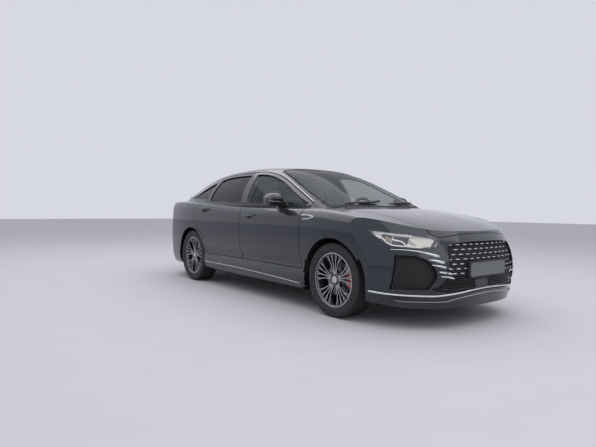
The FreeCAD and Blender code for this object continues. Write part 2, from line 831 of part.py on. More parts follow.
def front_bumper():
    """The front bumper, open for the grille, with a hollow at each outer intake."""
    skin = body_wall.common(front_bumper_prism)
    rooms = [hood_room, lamp_room, mirrored(lamp_room), grille_room, intake_room, mirrored(intake_room)]
    return biggest(skin.cut(rooms + wheel_openings()))


def intake_hollow():
    """The dark hollow in the bumper's corner, 45 mm deep."""
    outline = Outline(
        [(half_length - 352, 592), (half_length - 260, 592), (half_length - 168, 568), (half_length - 129, 527)],
        [(half_length - 129, 527), (half_length - 104, 464), (half_length - 102, 410)],
        [(half_length - 102, 410), (half_length - 142, 325)],
        [(half_length - 142, 325), (half_length - 382, 318)],
        [(half_length - 382, 318), (half_length - 357, 435), (half_length - 352, 592)],
    )
    depth = 45
    core = trimmed(lower_solid(depth, depth, under), depth)
    return cut_sideways(outline, 505, far).cut(core)


intake_room = intake_hollow()
piece("front_bumper", front_bumper())


def grille():
    """The grille: a set-back plate with level bars across it, within the bumper's opening."""
    front, face, back = (end_block(NOSE_PLAN, NOSE_SIDE, half_length + NOSE_LOSS, 1, deep) for deep in (12, 30, 45))
    plate = face.cut(back).common(grille_prism)
    rows = 11
    low, high = 318, 700
    pitch = (high - low) / rows
    bars = [box(half_length - 300, half_length, -far, far, low + k * pitch, low + k * pitch + 9) for k in range(rows)]
    lattice = front.cut(back).common(grille_prism).common(Part.makeCompound(bars))
    rim = front.cut(back).common(grille_prism.cut(cut_forwards(
        grille_outline().grown(-14), half_length - 400, half_length + 100)))
    return biggest(plate.fuse([lattice, rim]).cut(hood_room))


piece("grille", grille())
lamp = biggest(body_wall.common(lamp_prism).cut([grille_room, hood_room]))
piece("headlamps", both(lamp))


hood_bores = both(rod((hood_axis_x, 655, hood_axis_z), (hood_axis_x, 730, hood_axis_z), cover_pin + fit))
hood_block = hood_prism.cut(hood_bores)
piece("hood", biggest(fender_shell.common(hood_block)))
lid_bores = both(rod((lid_axis_x, lid_half - 50, lid_axis_z), (lid_axis_x, lid_half + 20, lid_axis_z), cover_pin + fit))
lid_light_outline = [(-half_length + 200, belt - 130), (-half_length - 200, belt - 145), (-half_length - 200, belt - 85),
                     (-half_length + 200, belt - 85)]
lid_light_edges = Outline(*[[lid_light_outline[i], lid_light_outline[(i + 1) % 4]] for i in range(4)])
lid_light_prism = cut_sideways(lid_light_edges, -lid_half + 12, lid_half - 12)
lid_shell = lower_skin.fuse(cabin_skin).cut(
    trimmed(lower_solid(lid_wall, lid_wall, under), lid_wall).fuse(cabin_solid(lid_wall)))
lid_block = lid_shell.common(lid_prism)
front_face = trimmed(lower_solid(18, 18, under), 18)
light = lid_block.common(lid_light_prism).cut(front_face)
piece("lid_lamp", biggest(light))
lid_light_room = cut_sideways(lid_light_edges.grown(fit), -lid_half + 12 - fit, lid_half - 12 + fit)
lid_light_room = lid_light_room.cut(trimmed(lower_solid(18 + fit, 18 + fit, under), 18 + fit))
piece("trunk_lid", biggest(lid_block.cut([lid_bores, lid_light_room])))
piece("cowl_panel", biggest(fender_shell.common(cowl_prism).cut(hood_room)))

glass = size("glass_thickness")
glass_shell = cabin_skin.cut(cabin_solid(glass))
over_cowl = lower_solid(-fit, -fit, under)
piece("windshield", biggest(glass_shell.common(windshield_prism).cut(over_cowl)))
piece("rear_window", biggest(glass_shell.common(rear_window_prism)))
setback = size("glass_setback")
side_glass = cabin_solid(setback).cut(cabin_solid(setback + glass))
piece("quarter_windows", both(biggest(side_glass.common(quarter_prism))))


def tail_lamp():
    block = body_wall.common(tail_lamp_prism)
    return biggest(block.cut(lid_room))


piece("tail_lamps", both(tail_lamp()))
rear_bumper = biggest(body_wall.common(rear_bumper_prism).cut([lid_room, tail_lamp_room, mirrored(tail_lamp_room)]
                                                              + wheel_openings()))
tow_side, tow_height = -500, size("trunk_floor_level") + 40
tow_port = rod((-half_length - 50, tow_side, tow_height), (-half_length + 200, tow_side, tow_height), 22)
piece("rear_bumper", biggest(rear_bumper.cut(tow_port)))


# Doors

axis_side = half_width - 14 - size("hinge_depth")
pin_radius = size("hinge_pin_radius")
plate = size("hinge_plate")
hinge_heights = (size("lower_hinge_height"), size("upper_hinge_height"))


def door(outline, window, edge, setback):
    """A left door: its panel and window frame, with a round front edge about its hinge and a pocket at each hinge."""
    axis_x = edge - setback
    reach = math.hypot(setback, size("hinge_depth"))
    panel = body_wall.common(cut_door(outline)).common(box(-far * 2, far * 2, 600, far, 0, roof))
    rounded_to = corner_low if edge == front_edge else belt + 60
    ahead = box(axis_x, axis_x + 600, 0, far, 0, rounded_to)
    panel = panel.cut(ahead.cut(rod((axis_x, axis_side, 0), (axis_x, axis_side, roof), reach)))
    if edge == front_edge:
        panel = panel.cut([box(edge, edge + 300, 0, far, corner_low, roof),
                           box(edge - corner_reach, edge + 1, 0, corner_inner, corner_low, corner_high)])
    cuts = [cut_door(window.grown(fit))]
    for height in hinge_heights:
        room = plate / 2 + gap
        cuts.append(box(axis_x - 18, axis_x + 120, 0, axis_side + 17, height - room, height + room))
        cuts.append(rod((axis_x, axis_side, height - 50), (axis_x, axis_side, height + 50), pin_radius + fit))
    return biggest(panel.cut(cuts))


front_door = door(front_door_outline(), front_window_outline(), front_edge, size("front_hinge_setback"))
rear_door = door(rear_door_outline(), rear_window_outline(), middle_edge - gap, size("rear_hinge_setback"))
with_twin("door_front_left", "door_front_right", front_door)
with_twin("door_rear_left", "door_rear_right", rear_door)
outer_side = box(-far * 2, far * 2, 560, far, 0, roof)
left_glass = side_glass.common(outer_side)
with_twin("window_front_left", "window_front_right", left_glass.common(cut_door(front_window_outline())))
with_twin("window_rear_left", "window_rear_right", left_glass.common(cut_door(rear_window_outline())))


def mirror():
    """A left door mirror: a wide rounded housing, flat at the glass, on a short foot."""
    x = front_edge - 370
    stations = [(-64, -2, 78, 84), (-30, -20, 100, 104), (40, -22, 108, 112), (104, -8, 90, 96), (134, 20, 56, 56)]
    sections = []
    for side, low, high, deep in stations:
        points = []
        for k in range(12):
            turn = math.radians(30 * k)
            across = math.copysign(abs(math.cos(turn)) ** 0.75, math.cos(turn))
            up = math.copysign(abs(math.sin(turn)) ** 0.75, math.sin(turn))
            points.append(Vector(x + across * deep / 2, half_width + side, belt + (low + high) / 2 + up * (high - low) / 2))
        curve = Part.BSplineCurve()
        curve.interpolate(points, PeriodicFlag=True)
        sections.append(Part.Wire([curve.toShape()]))
    housing = Part.makeLoft(sections, True)
    back = box(x - 100, x - 30, half_width - 100, half_width + 200, belt - 60, belt + 160)
    reach = [(half_width - 110, belt - 70), (half_width - 110, belt + 5), (half_width - 50, belt + 40),
             (half_width, belt + 40), (half_width, belt - 12), (half_width - 30, belt - 70)]
    edges = [[reach[i], reach[(i + 1) % 6]] for i in range(6)]
    foot = cut_forwards(Outline(*edges), x - 10, x + 34)
    skin = lower_solid(-fit, -fit, under).fuse(cabin_solid(-fit))
    return biggest(fused(housing.cut(back), foot).cut(skin))


with_twin("mirror_left", "mirror_right", mirror())


def hinge(edge, setback, post_x):
    """One door's two hinges: a pin and an arm that reaches inwards and then along to its post."""
    axis_x = edge - setback
    reach = math.hypot(setback, size("hinge_depth")) + gap
    inner = axis_side - reach
    parts = []
    for height in hinge_heights:
        low, high = height - plate / 2, height + plate / 2
        pin = rod((axis_x, axis_side, height - 45), (axis_x, axis_side, height + 45), pin_radius)
        arm = box(axis_x - 11, axis_x + 11, inner - 20, axis_side, low, high)
        if post_x is None:
            arm = box(axis_x - 11, axis_x + 11, axis_side - door_wall - 60, axis_side, low, high)
            parts.append(biggest(fused(pin, arm).cut(left_side)))
        else:
            leg = box(axis_x - 11, post_x, inner - 20, inner, low, high)
            parts.append(fused(pin, arm, leg))
    return parts


hinges = hinge(front_edge, size("front_hinge_setback"), front_edge + 18 - fit)
hinges += hinge(middle_edge - gap, size("rear_hinge_setback"), None)
everything = []
for shape in hinges:
    everything += [shape, mirrored(shape)]
piece("door_hinges", Part.makeCompound(everything))

# Chassis, seats and engine: primitives bound to the sheet

FRONT_X = "(sizes.overall_length / 2 - sizes.front_overhang)"
REAR_X = "(sizes.overall_length / 2 - sizes.front_overhang - sizes.wheelbase)"
HUB_Z = "sizes.tyre_radius"
PLANE = "(sizes.track / 2)"


def primitive(kind, name, at, turn=None, **lengths):
    """A Part primitive whose sizes and place are expressions of the sheet."""
    shape = doc.addObject(f"Part::{kind}", name)
    if turn:
        shape.Placement = Placement(Vector(0, 0, 0), turn)
    for length, expression in lengths.items():
        shape.setExpression(length, expression)
    for axis, expression in zip("xyz", at):
        shape.setExpression(f"Placement.Base.{axis}", expression)
    return shape


def block(name, x0, x1, y0, y1, z0, z1):
    """A box between two corners, each given as an expression."""
    return primitive("Box", name, (x0, y0, z0), Length=f"({x1}) - ({x0})", Width=f"({y1}) - ({y0})",
                     Height=f"({z1}) - ({z0})")


def joined(name, members):
    whole = doc.addObject("Part::MultiFuse", name)
    whole.Shapes = members
    whole.Refine = True
    whole.Label = name
    made.append(whole)
    return whole


def alone(member):
    member.Label = member.Name
    made.append(member)
    return member


ACROSS = Rotation(Vector(1, 0, 0), -90)
floor_top = size("floor_level") + size("floor_thickness")

alone(block("engine_block", f"{FRONT_X} - 110", f"{FRONT_X} - 110 + sizes.engine_length",
            "-sizes.engine_width / 2", "sizes.engine_width / 2", f"{HUB_Z} - 80", f"{HUB_Z} - 80 + sizes.engine_height"))
alone(block("fuel_tank", f"{REAR_X} + 150", f"{REAR_X} + 510", "-480", "480", "sizes.floor_level + 10",
            "sizes.trunk_floor_level"))


def front_subframe():
    """The cross member that carries the engine, with the arms that hold the two knuckles."""
    spread = "sizes.arm_spread"
    arm = "sizes.arm_thickness"
    clear = "sizes.seat_clearance"
    members = [
        block("cross_member", f"{FRONT_X} - 170", f"{FRONT_X} + 420", "-430", "430", f"{HUB_Z} - 140", f"{HUB_Z} - 80"),
    ]
    pin_y = f"({PLANE} - sizes.kingpin_offset)"
    for side, sign in (("left", 1), ("right", -1)):
        low, high = (f"400", f"{pin_y}") if sign > 0 else (f"-{pin_y}", "-400")
        for level, z in (("lower", f"{HUB_Z} - {spread} - {arm}"), ("upper", f"{HUB_Z} + {spread}")):
            members.append(block(f"{level}_arm_{side}", f"{FRONT_X} - 26", f"{FRONT_X} + 26", low, high, z,
                                 f"{z} + {arm}"))
            members.append(primitive("Cylinder", f"{level}_eye_{side}",
                                     (FRONT_X, f"{sign} * {pin_y}", z), Radius="26", Height=arm))
        inner, outer = ("380", "430") if sign > 0 else ("-430", "-380")
        members.append(block(f"tower_{side}", f"{FRONT_X} - 60", f"{FRONT_X} + 60", inner, outer,
                             f"{HUB_Z} - 140", f"{HUB_Z} + {spread} + {arm}"))
    whole = doc.addObject("Part::MultiFuse", "subframe_body")
    whole.Shapes = members
    whole.Refine = True
    bores = [primitive("Cylinder", f"kingpin_bore_{side}",
                       (FRONT_X, f"{sign} * {pin_y}", f"{HUB_Z} - {spread} - {arm} - 10"),
                       Radius=f"sizes.kingpin_radius + {clear}", Height=f"2 * ({spread} + {arm}) + 20")
             for side, sign in (("left", 1), ("right", -1))]
    tools = doc.addObject("Part::MultiFuse", "kingpin_bores")
    tools.Shapes = bores
    cut = doc.addObject("Part::Cut", "front_subframe")
    cut.Base, cut.Tool = whole, tools
    return alone(cut)


front_subframe()


def knuckle(side, sign):
    """A front knuckle: its two kingpins, the carrier and the hub pin."""
    clear = "sizes.seat_clearance"
    spread = "sizes.arm_spread"
    pin_y = f"{sign} * ({PLANE} - sizes.kingpin_offset)"
    turn = Rotation(Vector(1, 0, 0), -90 * sign)
    inner = f"{sign} * ({PLANE} - 62)"
    members = [
        primitive("Cylinder", f"upright_{side}", (FRONT_X, pin_y, f"{HUB_Z} - {spread} + {clear}"),
                  Radius="20", Height=f"2 * ({spread} - {clear})"),
        primitive("Cylinder", f"kingpin_{side}", (FRONT_X, pin_y, f"{HUB_Z} - {spread} - sizes.arm_thickness"),
                  Radius="sizes.kingpin_radius", Height=f"2 * ({spread} + sizes.arm_thickness)"),
        primitive("Cylinder", f"carrier_{side}", (FRONT_X, inner, HUB_Z), turn, Radius="46", Height="50"),
        primitive("Cylinder", f"hub_pin_{side}", (FRONT_X, inner, HUB_Z), turn,
                  Radius="sizes.hub_pin_radius", Height="62 + 55"),
    ]
    low, high = (f"{PLANE} - 30", f"{PLANE} - 12") if sign > 0 else (f"12 - {PLANE}", f"30 - {PLANE}")
    members.append(block(f"caliper_bracket_{side}", f"{FRONT_X} + 20", f"{FRONT_X} + 128", low, high,
                         f"{HUB_Z} - 24", f"{HUB_Z} + 34"))
    joined(f"knuckle_{side}", members)


knuckle("left", 1)
knuckle("right", -1)


def floor_pan():
    """The floor, the firewall, the riser under the rear seat, the trunk floor and the parcel shelf."""
    level, thick = size("floor_level"), size("floor_thickness")
    trunk = size("trunk_floor_level")
    riser = rear_axle + 551
    inside_rocker = half_width - size("rocker_depth") - fit
    room = trimmed(lower_solid(door_wall + fit, hood_wall + fit, under), bumper_wall + fit)
    room = room.fuse(cabin_solid(cabin_wall + fit))
    liner_inner = wheel_plane - size("tyre_width") / 2 - 40
    slabs = [
        box(riser, front_edge + 40, -inside_rocker, inside_rocker, level, level + thick),
        box(riser, riser + thick, -inside_rocker, inside_rocker, level, trunk + thick),
        box(rear_axle + arch + 10, riser + thick, -inside_rocker, inside_rocker, trunk, trunk + thick),
        box(rear_axle - arch - 10, rear_axle + arch + 10, -liner_inner, liner_inner, trunk, trunk + thick),
        box(-half_length + 60, rear_axle - arch - 10, -far, far, trunk, trunk + thick),
        box(riser, front_edge + 20, -110, 110, level, level + 90),
        box(rear_axle - 360, rear_axle - 40, -far, far, belt + 30, belt + 45),
    ]
    slabs = [slab.common(room) for slab in slabs]
    bay = lower_solid(fender_wall + fit, hood_wall + fit, under)
    post = half_width - 150 - fit
    firewall = box(front_edge + 20, front_edge + 40, -post, post, level, belt).common(bay)
    seat_back = box(rear_axle - 50, rear_axle - 35, -liner_inner, liner_inner, trunk, belt + 45).common(room)
    inner_end = -half_length + 180
    boss = rod((inner_end - 105, tow_side, tow_height), (inner_end, tow_side, tow_height), 18)
    foot = box(inner_end - 46, inner_end, tow_side - 18, tow_side + 18, trunk, tow_height)
    bore = rod((inner_end - 106, tow_side, tow_height), (inner_end - 45, tow_side, tow_height), size("tow_bore_radius"))
    pad, drop = size("jack_pad_length") / 2, size("jack_pad_drop")
    pad_side = inside_rocker - 15
    pads = []
    for x in (front_edge - 125, riser + 100):
        block = box(x - pad, x + pad, pad_side - size("jack_pad_width"), pad_side, level - drop, level + thick)
        pads += [block, mirrored(block)]
    return fused(*slabs, firewall, seat_back, boss, foot, *pads).cut(bore)


piece("floor_pan", floor_pan())


def front_rails():
    """The two rails ahead of the firewall, and the panel at the nose that the bumper, grille and lamps sit on."""
    low = wheel_height + size("arm_spread") + size("arm_thickness") + fit
    high = low + 74
    rails = [box(front_edge + 40 + fit, half_length - 250, s * 450 - 20, s * 450 + 20, low, high) for s in (1, -1)]
    lift = [box(front_axle + 150, front_axle + 230, s * 450 - 20, s * 450 + 20, wheel_height - 80 + fit, high)
            for s in (1, -1)]
    inside = trimmed(lower_solid(door_wall + fit, hood_wall + fit, under), bumper_wall + fit)
    panel = box(half_length - 250, half_length - 225, -far, far, wheel_height - 90, wheel_height + 290).common(inside)
    window = box(half_length - 300, half_length - 200, -330, 330, wheel_height - 10, wheel_height + 230)
    struts = [box(half_length - 226, half_length - 45, s * 370 - 25, s * 370 + 25, wheel_height + 40, wheel_height + 90)
              for s in (1, -1)]
    behind_grille = trimmed(lower_solid(45 + fit, 45 + fit, under), 45 + fit)
    struts = [strut.common(behind_grille) for strut in struts]
    return fused(*rails, *lift, panel.cut(window), *struts)


piece("front_rails", front_rails())


def rear_axle_beam():
    """The rear axle: a tube with a hub pin at each end, two trailing arms and the brake calipers."""
    tube = rod((rear_axle, 12 - wheel_plane, wheel_height), (rear_axle, wheel_plane - 12, wheel_height), 35)
    pins = rod((rear_axle, -wheel_plane - 55, wheel_height), (rear_axle, wheel_plane + 55, wheel_height),
               size("hub_pin_radius"))
    arms = [box(rear_axle, rear_axle + 551 - fit, s * 560 - 25, s * 560 + 25, wheel_height - 30, wheel_height + 20)
            for s in (1, -1)]
    calipers = []
    for s in (1, -1):
        caliper = brake_caliper(180)
        caliper = caliper if s > 0 else mirrored(caliper)
        caliper.translate(Vector(rear_axle, s * wheel_plane, wheel_height))
        calipers.append(caliper)
        y0, y1 = sorted((s * (wheel_plane - 30), s * (wheel_plane - 12)))
        calipers.append(box(rear_axle - 128, rear_axle, y0, y1, wheel_height - 24, wheel_height + 34))
    return fused(tube, pins, *arms, *calipers)


def brake_caliper(turn):
    """A caliper about the wheel's axis, clear of its disc: drawn for a left wheel, its middle at the front."""
    disc = size("disc_radius")
    profile = Part.Face(Part.makePolygon([
        Vector(disc - 40, -28, 0), Vector(disc + 27, -28, 0), Vector(disc + 27, 38, 0), Vector(disc - 40, 38, 0),
        Vector(disc - 40, 25, 0), Vector(disc + 6, 25, 0), Vector(disc + 6, -11, 0), Vector(disc - 40, -11, 0),
        Vector(disc - 40, -28, 0)]))
    block_shape = profile.revolve(Vector(0, 0, 0), Vector(0, 1, 0), -54)
    block_shape.rotate(Vector(0, 0, 0), Vector(0, 1, 0), 20 + turn)
    return block_shape


piece("rear_axle", rear_axle_beam())
for side_name, sign in (("left", 1), ("right", -1)):
    caliper = brake_caliper(0) if sign > 0 else mirrored(brake_caliper(0))
    caliper.translate(Vector(front_axle, sign * wheel_plane, wheel_height))
    bracket = doc.getObject(f"knuckle_{side_name}")
    doc.recompute()
    piece(f"caliper_{side_name}", biggest(caliper.cut(bracket.Shape)))


# Wheels

def ring(profile):
    """A ring about the wheel's axle from its (y, radius) profile."""
    points = [Vector(r, y, 0) for y, r in profile]
    return Part.Face(Part.makePolygon(points + points[:1])).revolve(Vector(0, 0, 0), Vector(0, 1, 0), 360)


def rim():
    """A left wheel's rim with its spokes, hub and brake disc."""
    r, half = size("rim_radius"), size("rim_width") / 2
    barrel = ring([(-half, r + 12), (7 - half, r + 12), (11 - half, r), (half - 11, r), (half - 7, r + 12),
                   (half, r + 12), (half, r + 2), (half - 12, r - 10), (10 - half, r - 12), (-half, r)])
    hub = rod((0, 45, 0), (0, 80, 0), 74)
    hat = rod((0, 19, 0), (0, 45, 0), 80)
    disc = rod((0, 19 - size("disc_thickness"), 0), (0, 19, 0), size("disc_radius"))
    spokes = []
    groups, members, pitch = int(size("spoke_groups")), int(size("spokes_per_group")), size("spoke_pitch")
    for group in range(groups):
        for member in range(members):
            points = [Vector(60, 58, -6), Vector(60, 58, 6), Vector(r - 6, 66, 6), Vector(r - 6, 66, -6)]
            spoke = Part.Face(Part.makePolygon(points + points[:1])).extrude(Vector(0, 20, 0))
            spoke.rotate(Vector(0, 0, 0), Vector(0, 1, 0), group * 360 / groups + (member - (members - 1) / 2) * pitch)
            spokes.append(spoke)
    bore = rod((0, -50, 0), (0, 60, 0), size("hub_pin_radius") + fit)
    return barrel.fuse([hub, hat, disc] + spokes).cut(bore)


def tyre():
    """A left tyre, closed against the rim."""
    r, half = size("rim_radius"), size("rim_width") / 2
    outer, wide = size("tyre_radius"), size("tyre_width") / 2
    low = r + 12 + fit * 2
    side = [(half - 11 - fit, r + fit), (half - 7 - fit, low), (wide, low + 30), (wide - 3, outer - 20),
            (wide - 22, outer)]
    return ring(side + [(-y, radius) for y, radius in reversed(side)])


rim_shape, tyre_shape = rim(), tyre()
for place, x in (("front", front_axle), ("rear", rear_axle)):
    for side_name, sign in (("left", 1), ("right", -1)):
        for kind, shape in (("wheel", rim_shape), ("tyre", tyre_shape)):
            copy = shape.copy() if sign > 0 else mirrored(shape)
            copy.translate(Vector(x, sign * wheel_plane, wheel_height))
            piece(f"{kind}_{place}_{side_name}", copy)


# Cabin

def seat(y, width, x, back_x, cushion, top, base):
    """A seat: cushion, backrest and head restraint as one soft block."""
    def part(points):
        loop = [Vector(px, y - width / 2, pz) for px, pz in points]
        return Part.Face(Part.makePolygon(loop + loop[:1])).extrude(Vector(0, width, 0))
    seat_part = part([(x, base), (x, cushion - 40), (x - 60, cushion), (back_x, cushion - 20), (back_x, base)])
    back = part([(back_x + 70, base), (back_x - 20, top), (back_x - 120, top), (back_x - 60, base)])
    rest = box(back_x - 110, back_x - 20, y - 130, y + 130, top - 10, top + 130)
    return fused(seat_part, back, rest)


cushion, seat_top = size("cushion_top"), size("seat_back_top")
seat_side = 370
front_seat_x = middle_edge + 400
piece("front_seats", both(seat(seat_side, size("seat_width"), front_seat_x, front_seat_x - 520, cushion, seat_top,
                               floor_top)))
bench_front = rear_axle + 640
bench = seat(0, 1240, bench_front, rear_axle + 120, cushion + 20, seat_top - 40, size("trunk_floor_level")
             + size("floor_thickness"))
piece("rear_seat", bench)

tilt = math.radians(size("steering_tilt"))
column = Vector(math.cos(tilt), 0, -math.sin(tilt))
wheel_middle = Vector(front_edge - 505, seat_side, belt - 85)


def along(distance):
    point = wheel_middle + column * distance
    return (point.x, point.y, point.z)


def dashboard():
    """The dashboard with the steering column and its pin."""
    back, front = front_edge - 345, front_edge + 20 - fit
    points = [(back, belt - 330), (back - 20, belt - 150), (back + 30, belt - 75), (front - 90, belt - 60),
              (front, belt - 75), (front, belt - 330)]
    side = half_width - 182
    loop = [Vector(x, -side, z) for x, z in points]
    body = Part.Face(Part.makePolygon(loop + loop[:1])).extrude(Vector(0, 2 * side, 0))
    tube = rod(along(34), along(230), 32)
    pin = rod(along(-8), along(60), 12)
    console = box(front_seat_x - 420, back + 60, -100, 100, size("floor_level") + 90 + fit, cushion + 40)
    stack = box(back, back + 120, -100, 100, size("floor_level") + 90 + fit, belt - 300)
    return fused(body, tube, pin, console, stack)


piece("dashboard", dashboard())


def steering_wheel():
    radius, tube = size("steering_wheel_radius"), size("steering_rim_radius")
    rim_ring = Part.makeTorus(radius, tube, wheel_middle, column)
    hub = rod(along(-22), along(28), 48)
    sides = [Vector(0, 1, 0), Vector(0, -1, 0), column.cross(Vector(0, 1, 0))]
    down = sides[2] if sides[2].z < 0 else sides[2] * -1
    arms = [rod(along(2), tuple(wheel_middle + direction * radius), 10) for direction in (sides[0], sides[1], down)]
    return fused(rim_ring, hub, *arms).cut(rod(along(-10), along(30), 12 + fit))


piece("steering_wheel", steering_wheel())

# Exhaust, beneath the floor

pipe = size("exhaust_radius")
pipe_height = size("floor_level") - pipe - fit
muffler = box(-half_length + 200, -half_length + 430, -420, 420, size("trunk_floor_level") - 170,
              size("trunk_floor_level") - fit)


def bent_pipe(start, corner, end, radius, bend):
    """A round pipe of two straight runs with a tangent bend that starts a stated way before the corner."""
    start, corner, end = Vector(*start), Vector(*corner), Vector(*end)
    into, out = (start - corner).normalize(), (end - corner).normalize()
    half_turn = into.getAngle(out) / 2
    centre = corner + (into + out).normalize() * (bend / math.cos(half_turn))
    middle = centre + (corner - centre).normalize() * (bend * math.tan(half_turn))
    first, last = corner + into * bend, corner + out * bend
    arc = Part.Arc(first, middle, last).toShape()
    path = Part.Wire([Part.LineSegment(start, first).toShape(), arc, Part.LineSegment(last, end).toShape()])
    ring = Part.Wire([Part.Circle(start, corner - start, radius).toShape()])
    return path.makePipeShell([ring], True, False)


pipe_corner = (rear_axle - 260, -160, pipe_height)
pipe_end = (-half_length + 420, -160, size("trunk_floor_level") - 120)
pipe_run = bent_pipe((front_axle - 210, -160, pipe_height), pipe_corner, pipe_end, pipe, 60)
piece("exhaust", fused(muffler, pipe_run))

# Wheelhouse liners


def liners():
    """The black liner in each wheel opening: a half ring with an inner wall, open where the suspension passes."""
    shapes = []
    for x, radius, inner, outer in (
        (front_axle, steer_arch, 484, arch_lip - 20),
        (rear_axle, arch, wheel_plane - size("tyre_width") / 2 - 30, arch_lip - 60),
    ):
        shell = rod((x, inner - 6, wheel_height), (x, outer, wheel_height), radius - fit)
        hollow = rod((x, inner, wheel_height), (x, outer + 1, wheel_height), radius - 6)
        lower = box(x - 600, x + 600, 0, far, -100, wheel_height + 30)
        slot = box(x - 80, x + 80, 0, inner + 1, 0, wheel_height + 160)
        shapes.append(shell.cut([hollow, lower, slot]))
    return shapes


inside_all = trimmed(lower_solid(fender_wall + fit, hood_wall + fit, under), bumper_wall + fit)
liner_shapes = [biggest(s.common(inside_all)) for s in liners()]
piece("wheel_liners", Part.makeCompound(liner_shapes + [mirrored(s) for s in liner_shapes]))

doc.recompute()

os.makedirs("parts", exist_ok=True)
for part in made:
    print(part.Label, part.State, part.Shape.isValid(), len(part.Shape.Solids), round(part.Shape.Volume / 1e6, 2))
    part.Shape.exportStep(f"parts/{part.Label}.step")
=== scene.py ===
"""A four-door sedan car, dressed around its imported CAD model.

Every length is in metres, +X is forward and +Z is up.
"""

import bmesh
import bpy
import numpy as np
from mathutils import Matrix, Vector
from mathutils.bvhtree import BVHTree


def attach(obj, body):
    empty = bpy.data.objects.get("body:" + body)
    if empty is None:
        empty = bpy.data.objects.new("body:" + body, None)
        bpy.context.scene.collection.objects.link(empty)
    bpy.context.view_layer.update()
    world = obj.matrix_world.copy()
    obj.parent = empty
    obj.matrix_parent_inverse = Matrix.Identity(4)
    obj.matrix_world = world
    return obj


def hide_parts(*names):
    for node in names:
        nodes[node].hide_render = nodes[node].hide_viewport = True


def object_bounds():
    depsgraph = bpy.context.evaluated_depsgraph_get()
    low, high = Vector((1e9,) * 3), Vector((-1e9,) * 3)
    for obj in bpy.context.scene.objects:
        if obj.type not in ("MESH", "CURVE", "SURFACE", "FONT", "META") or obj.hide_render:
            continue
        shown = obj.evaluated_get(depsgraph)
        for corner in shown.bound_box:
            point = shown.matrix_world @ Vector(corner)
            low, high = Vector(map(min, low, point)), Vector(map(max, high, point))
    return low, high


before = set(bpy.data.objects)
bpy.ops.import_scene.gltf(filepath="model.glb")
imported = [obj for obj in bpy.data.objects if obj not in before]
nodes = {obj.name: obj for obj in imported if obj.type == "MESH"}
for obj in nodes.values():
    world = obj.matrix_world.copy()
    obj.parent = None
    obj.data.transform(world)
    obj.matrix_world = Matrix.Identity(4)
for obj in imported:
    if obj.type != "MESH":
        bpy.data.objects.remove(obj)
cad_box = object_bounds()
scene = bpy.context.scene

# The viewpoint
# The photograph was taken from ahead of the right front wheel at chest height, with a wide lens. The camera
# is turned about +Z, tilted down and rolled about its view, as the wheels, arches, lamps and roof line say.
PHOTO_WIDTH = 596
CAMERA_PLACE = Vector((4.603, -3.734, 0.941))
CAMERA_TURN = np.radians(52.231)
CAMERA_TILT = np.radians(1.589)
CAMERA_ROLL = np.radians(0.574)
FOCAL_PIXELS = 484.862
SENSOR_WIDTH = 36.0

camera_data = bpy.data.cameras.new("photo_camera")
camera_data.sensor_fit = "HORIZONTAL"
camera_data.sensor_width = SENSOR_WIDTH
camera_data.lens = FOCAL_PIXELS / PHOTO_WIDTH * SENSOR_WIDTH
camera_data.clip_end = 200.0
camera = bpy.data.objects.new("photo_camera", camera_data)
camera.matrix_world = (
    Matrix.Translation(CAMERA_PLACE) @ Matrix.Rotation(CAMERA_TURN, 4, "Z")
    @ Matrix.Rotation(np.pi / 2 - CAMERA_TILT, 4, "X") @ Matrix.Rotation(CAMERA_ROLL, 4, "Z"))
scene.collection.objects.link(camera)
scene.camera = camera
scene.view_settings.view_transform = "Standard"


class Value:
    """A shader socket. Sums and products of it with numbers or sockets add Math nodes to its finish."""

    def __init__(self, finish, socket):
        self.finish = finish
        self.socket = socket

    def math(self, operation, *others):
        sockets = dict(enumerate((self, *others)))
        return self.finish.node("ShaderNodeMath", {"operation": operation}, sockets)

    def __add__(self, other):
        return self.math("ADD", other)

    __radd__ = __add__

    def __sub__(self, other):
        return self.math("SUBTRACT", other)

    def __mul__(self, other):
        return self.math("MULTIPLY", other)

    def ramp(self, low, high, start=0.0, end=1.0):
        """Runs smoothly from start to end while the value runs from low to high."""
        places = {"Value": self, "From Min": low, "From Max": high, "To Min": start, "To Max": end}
        return self.finish.node("ShaderNodeMapRange", {"interpolation_type": "SMOOTHSTEP"}, places, "Result")


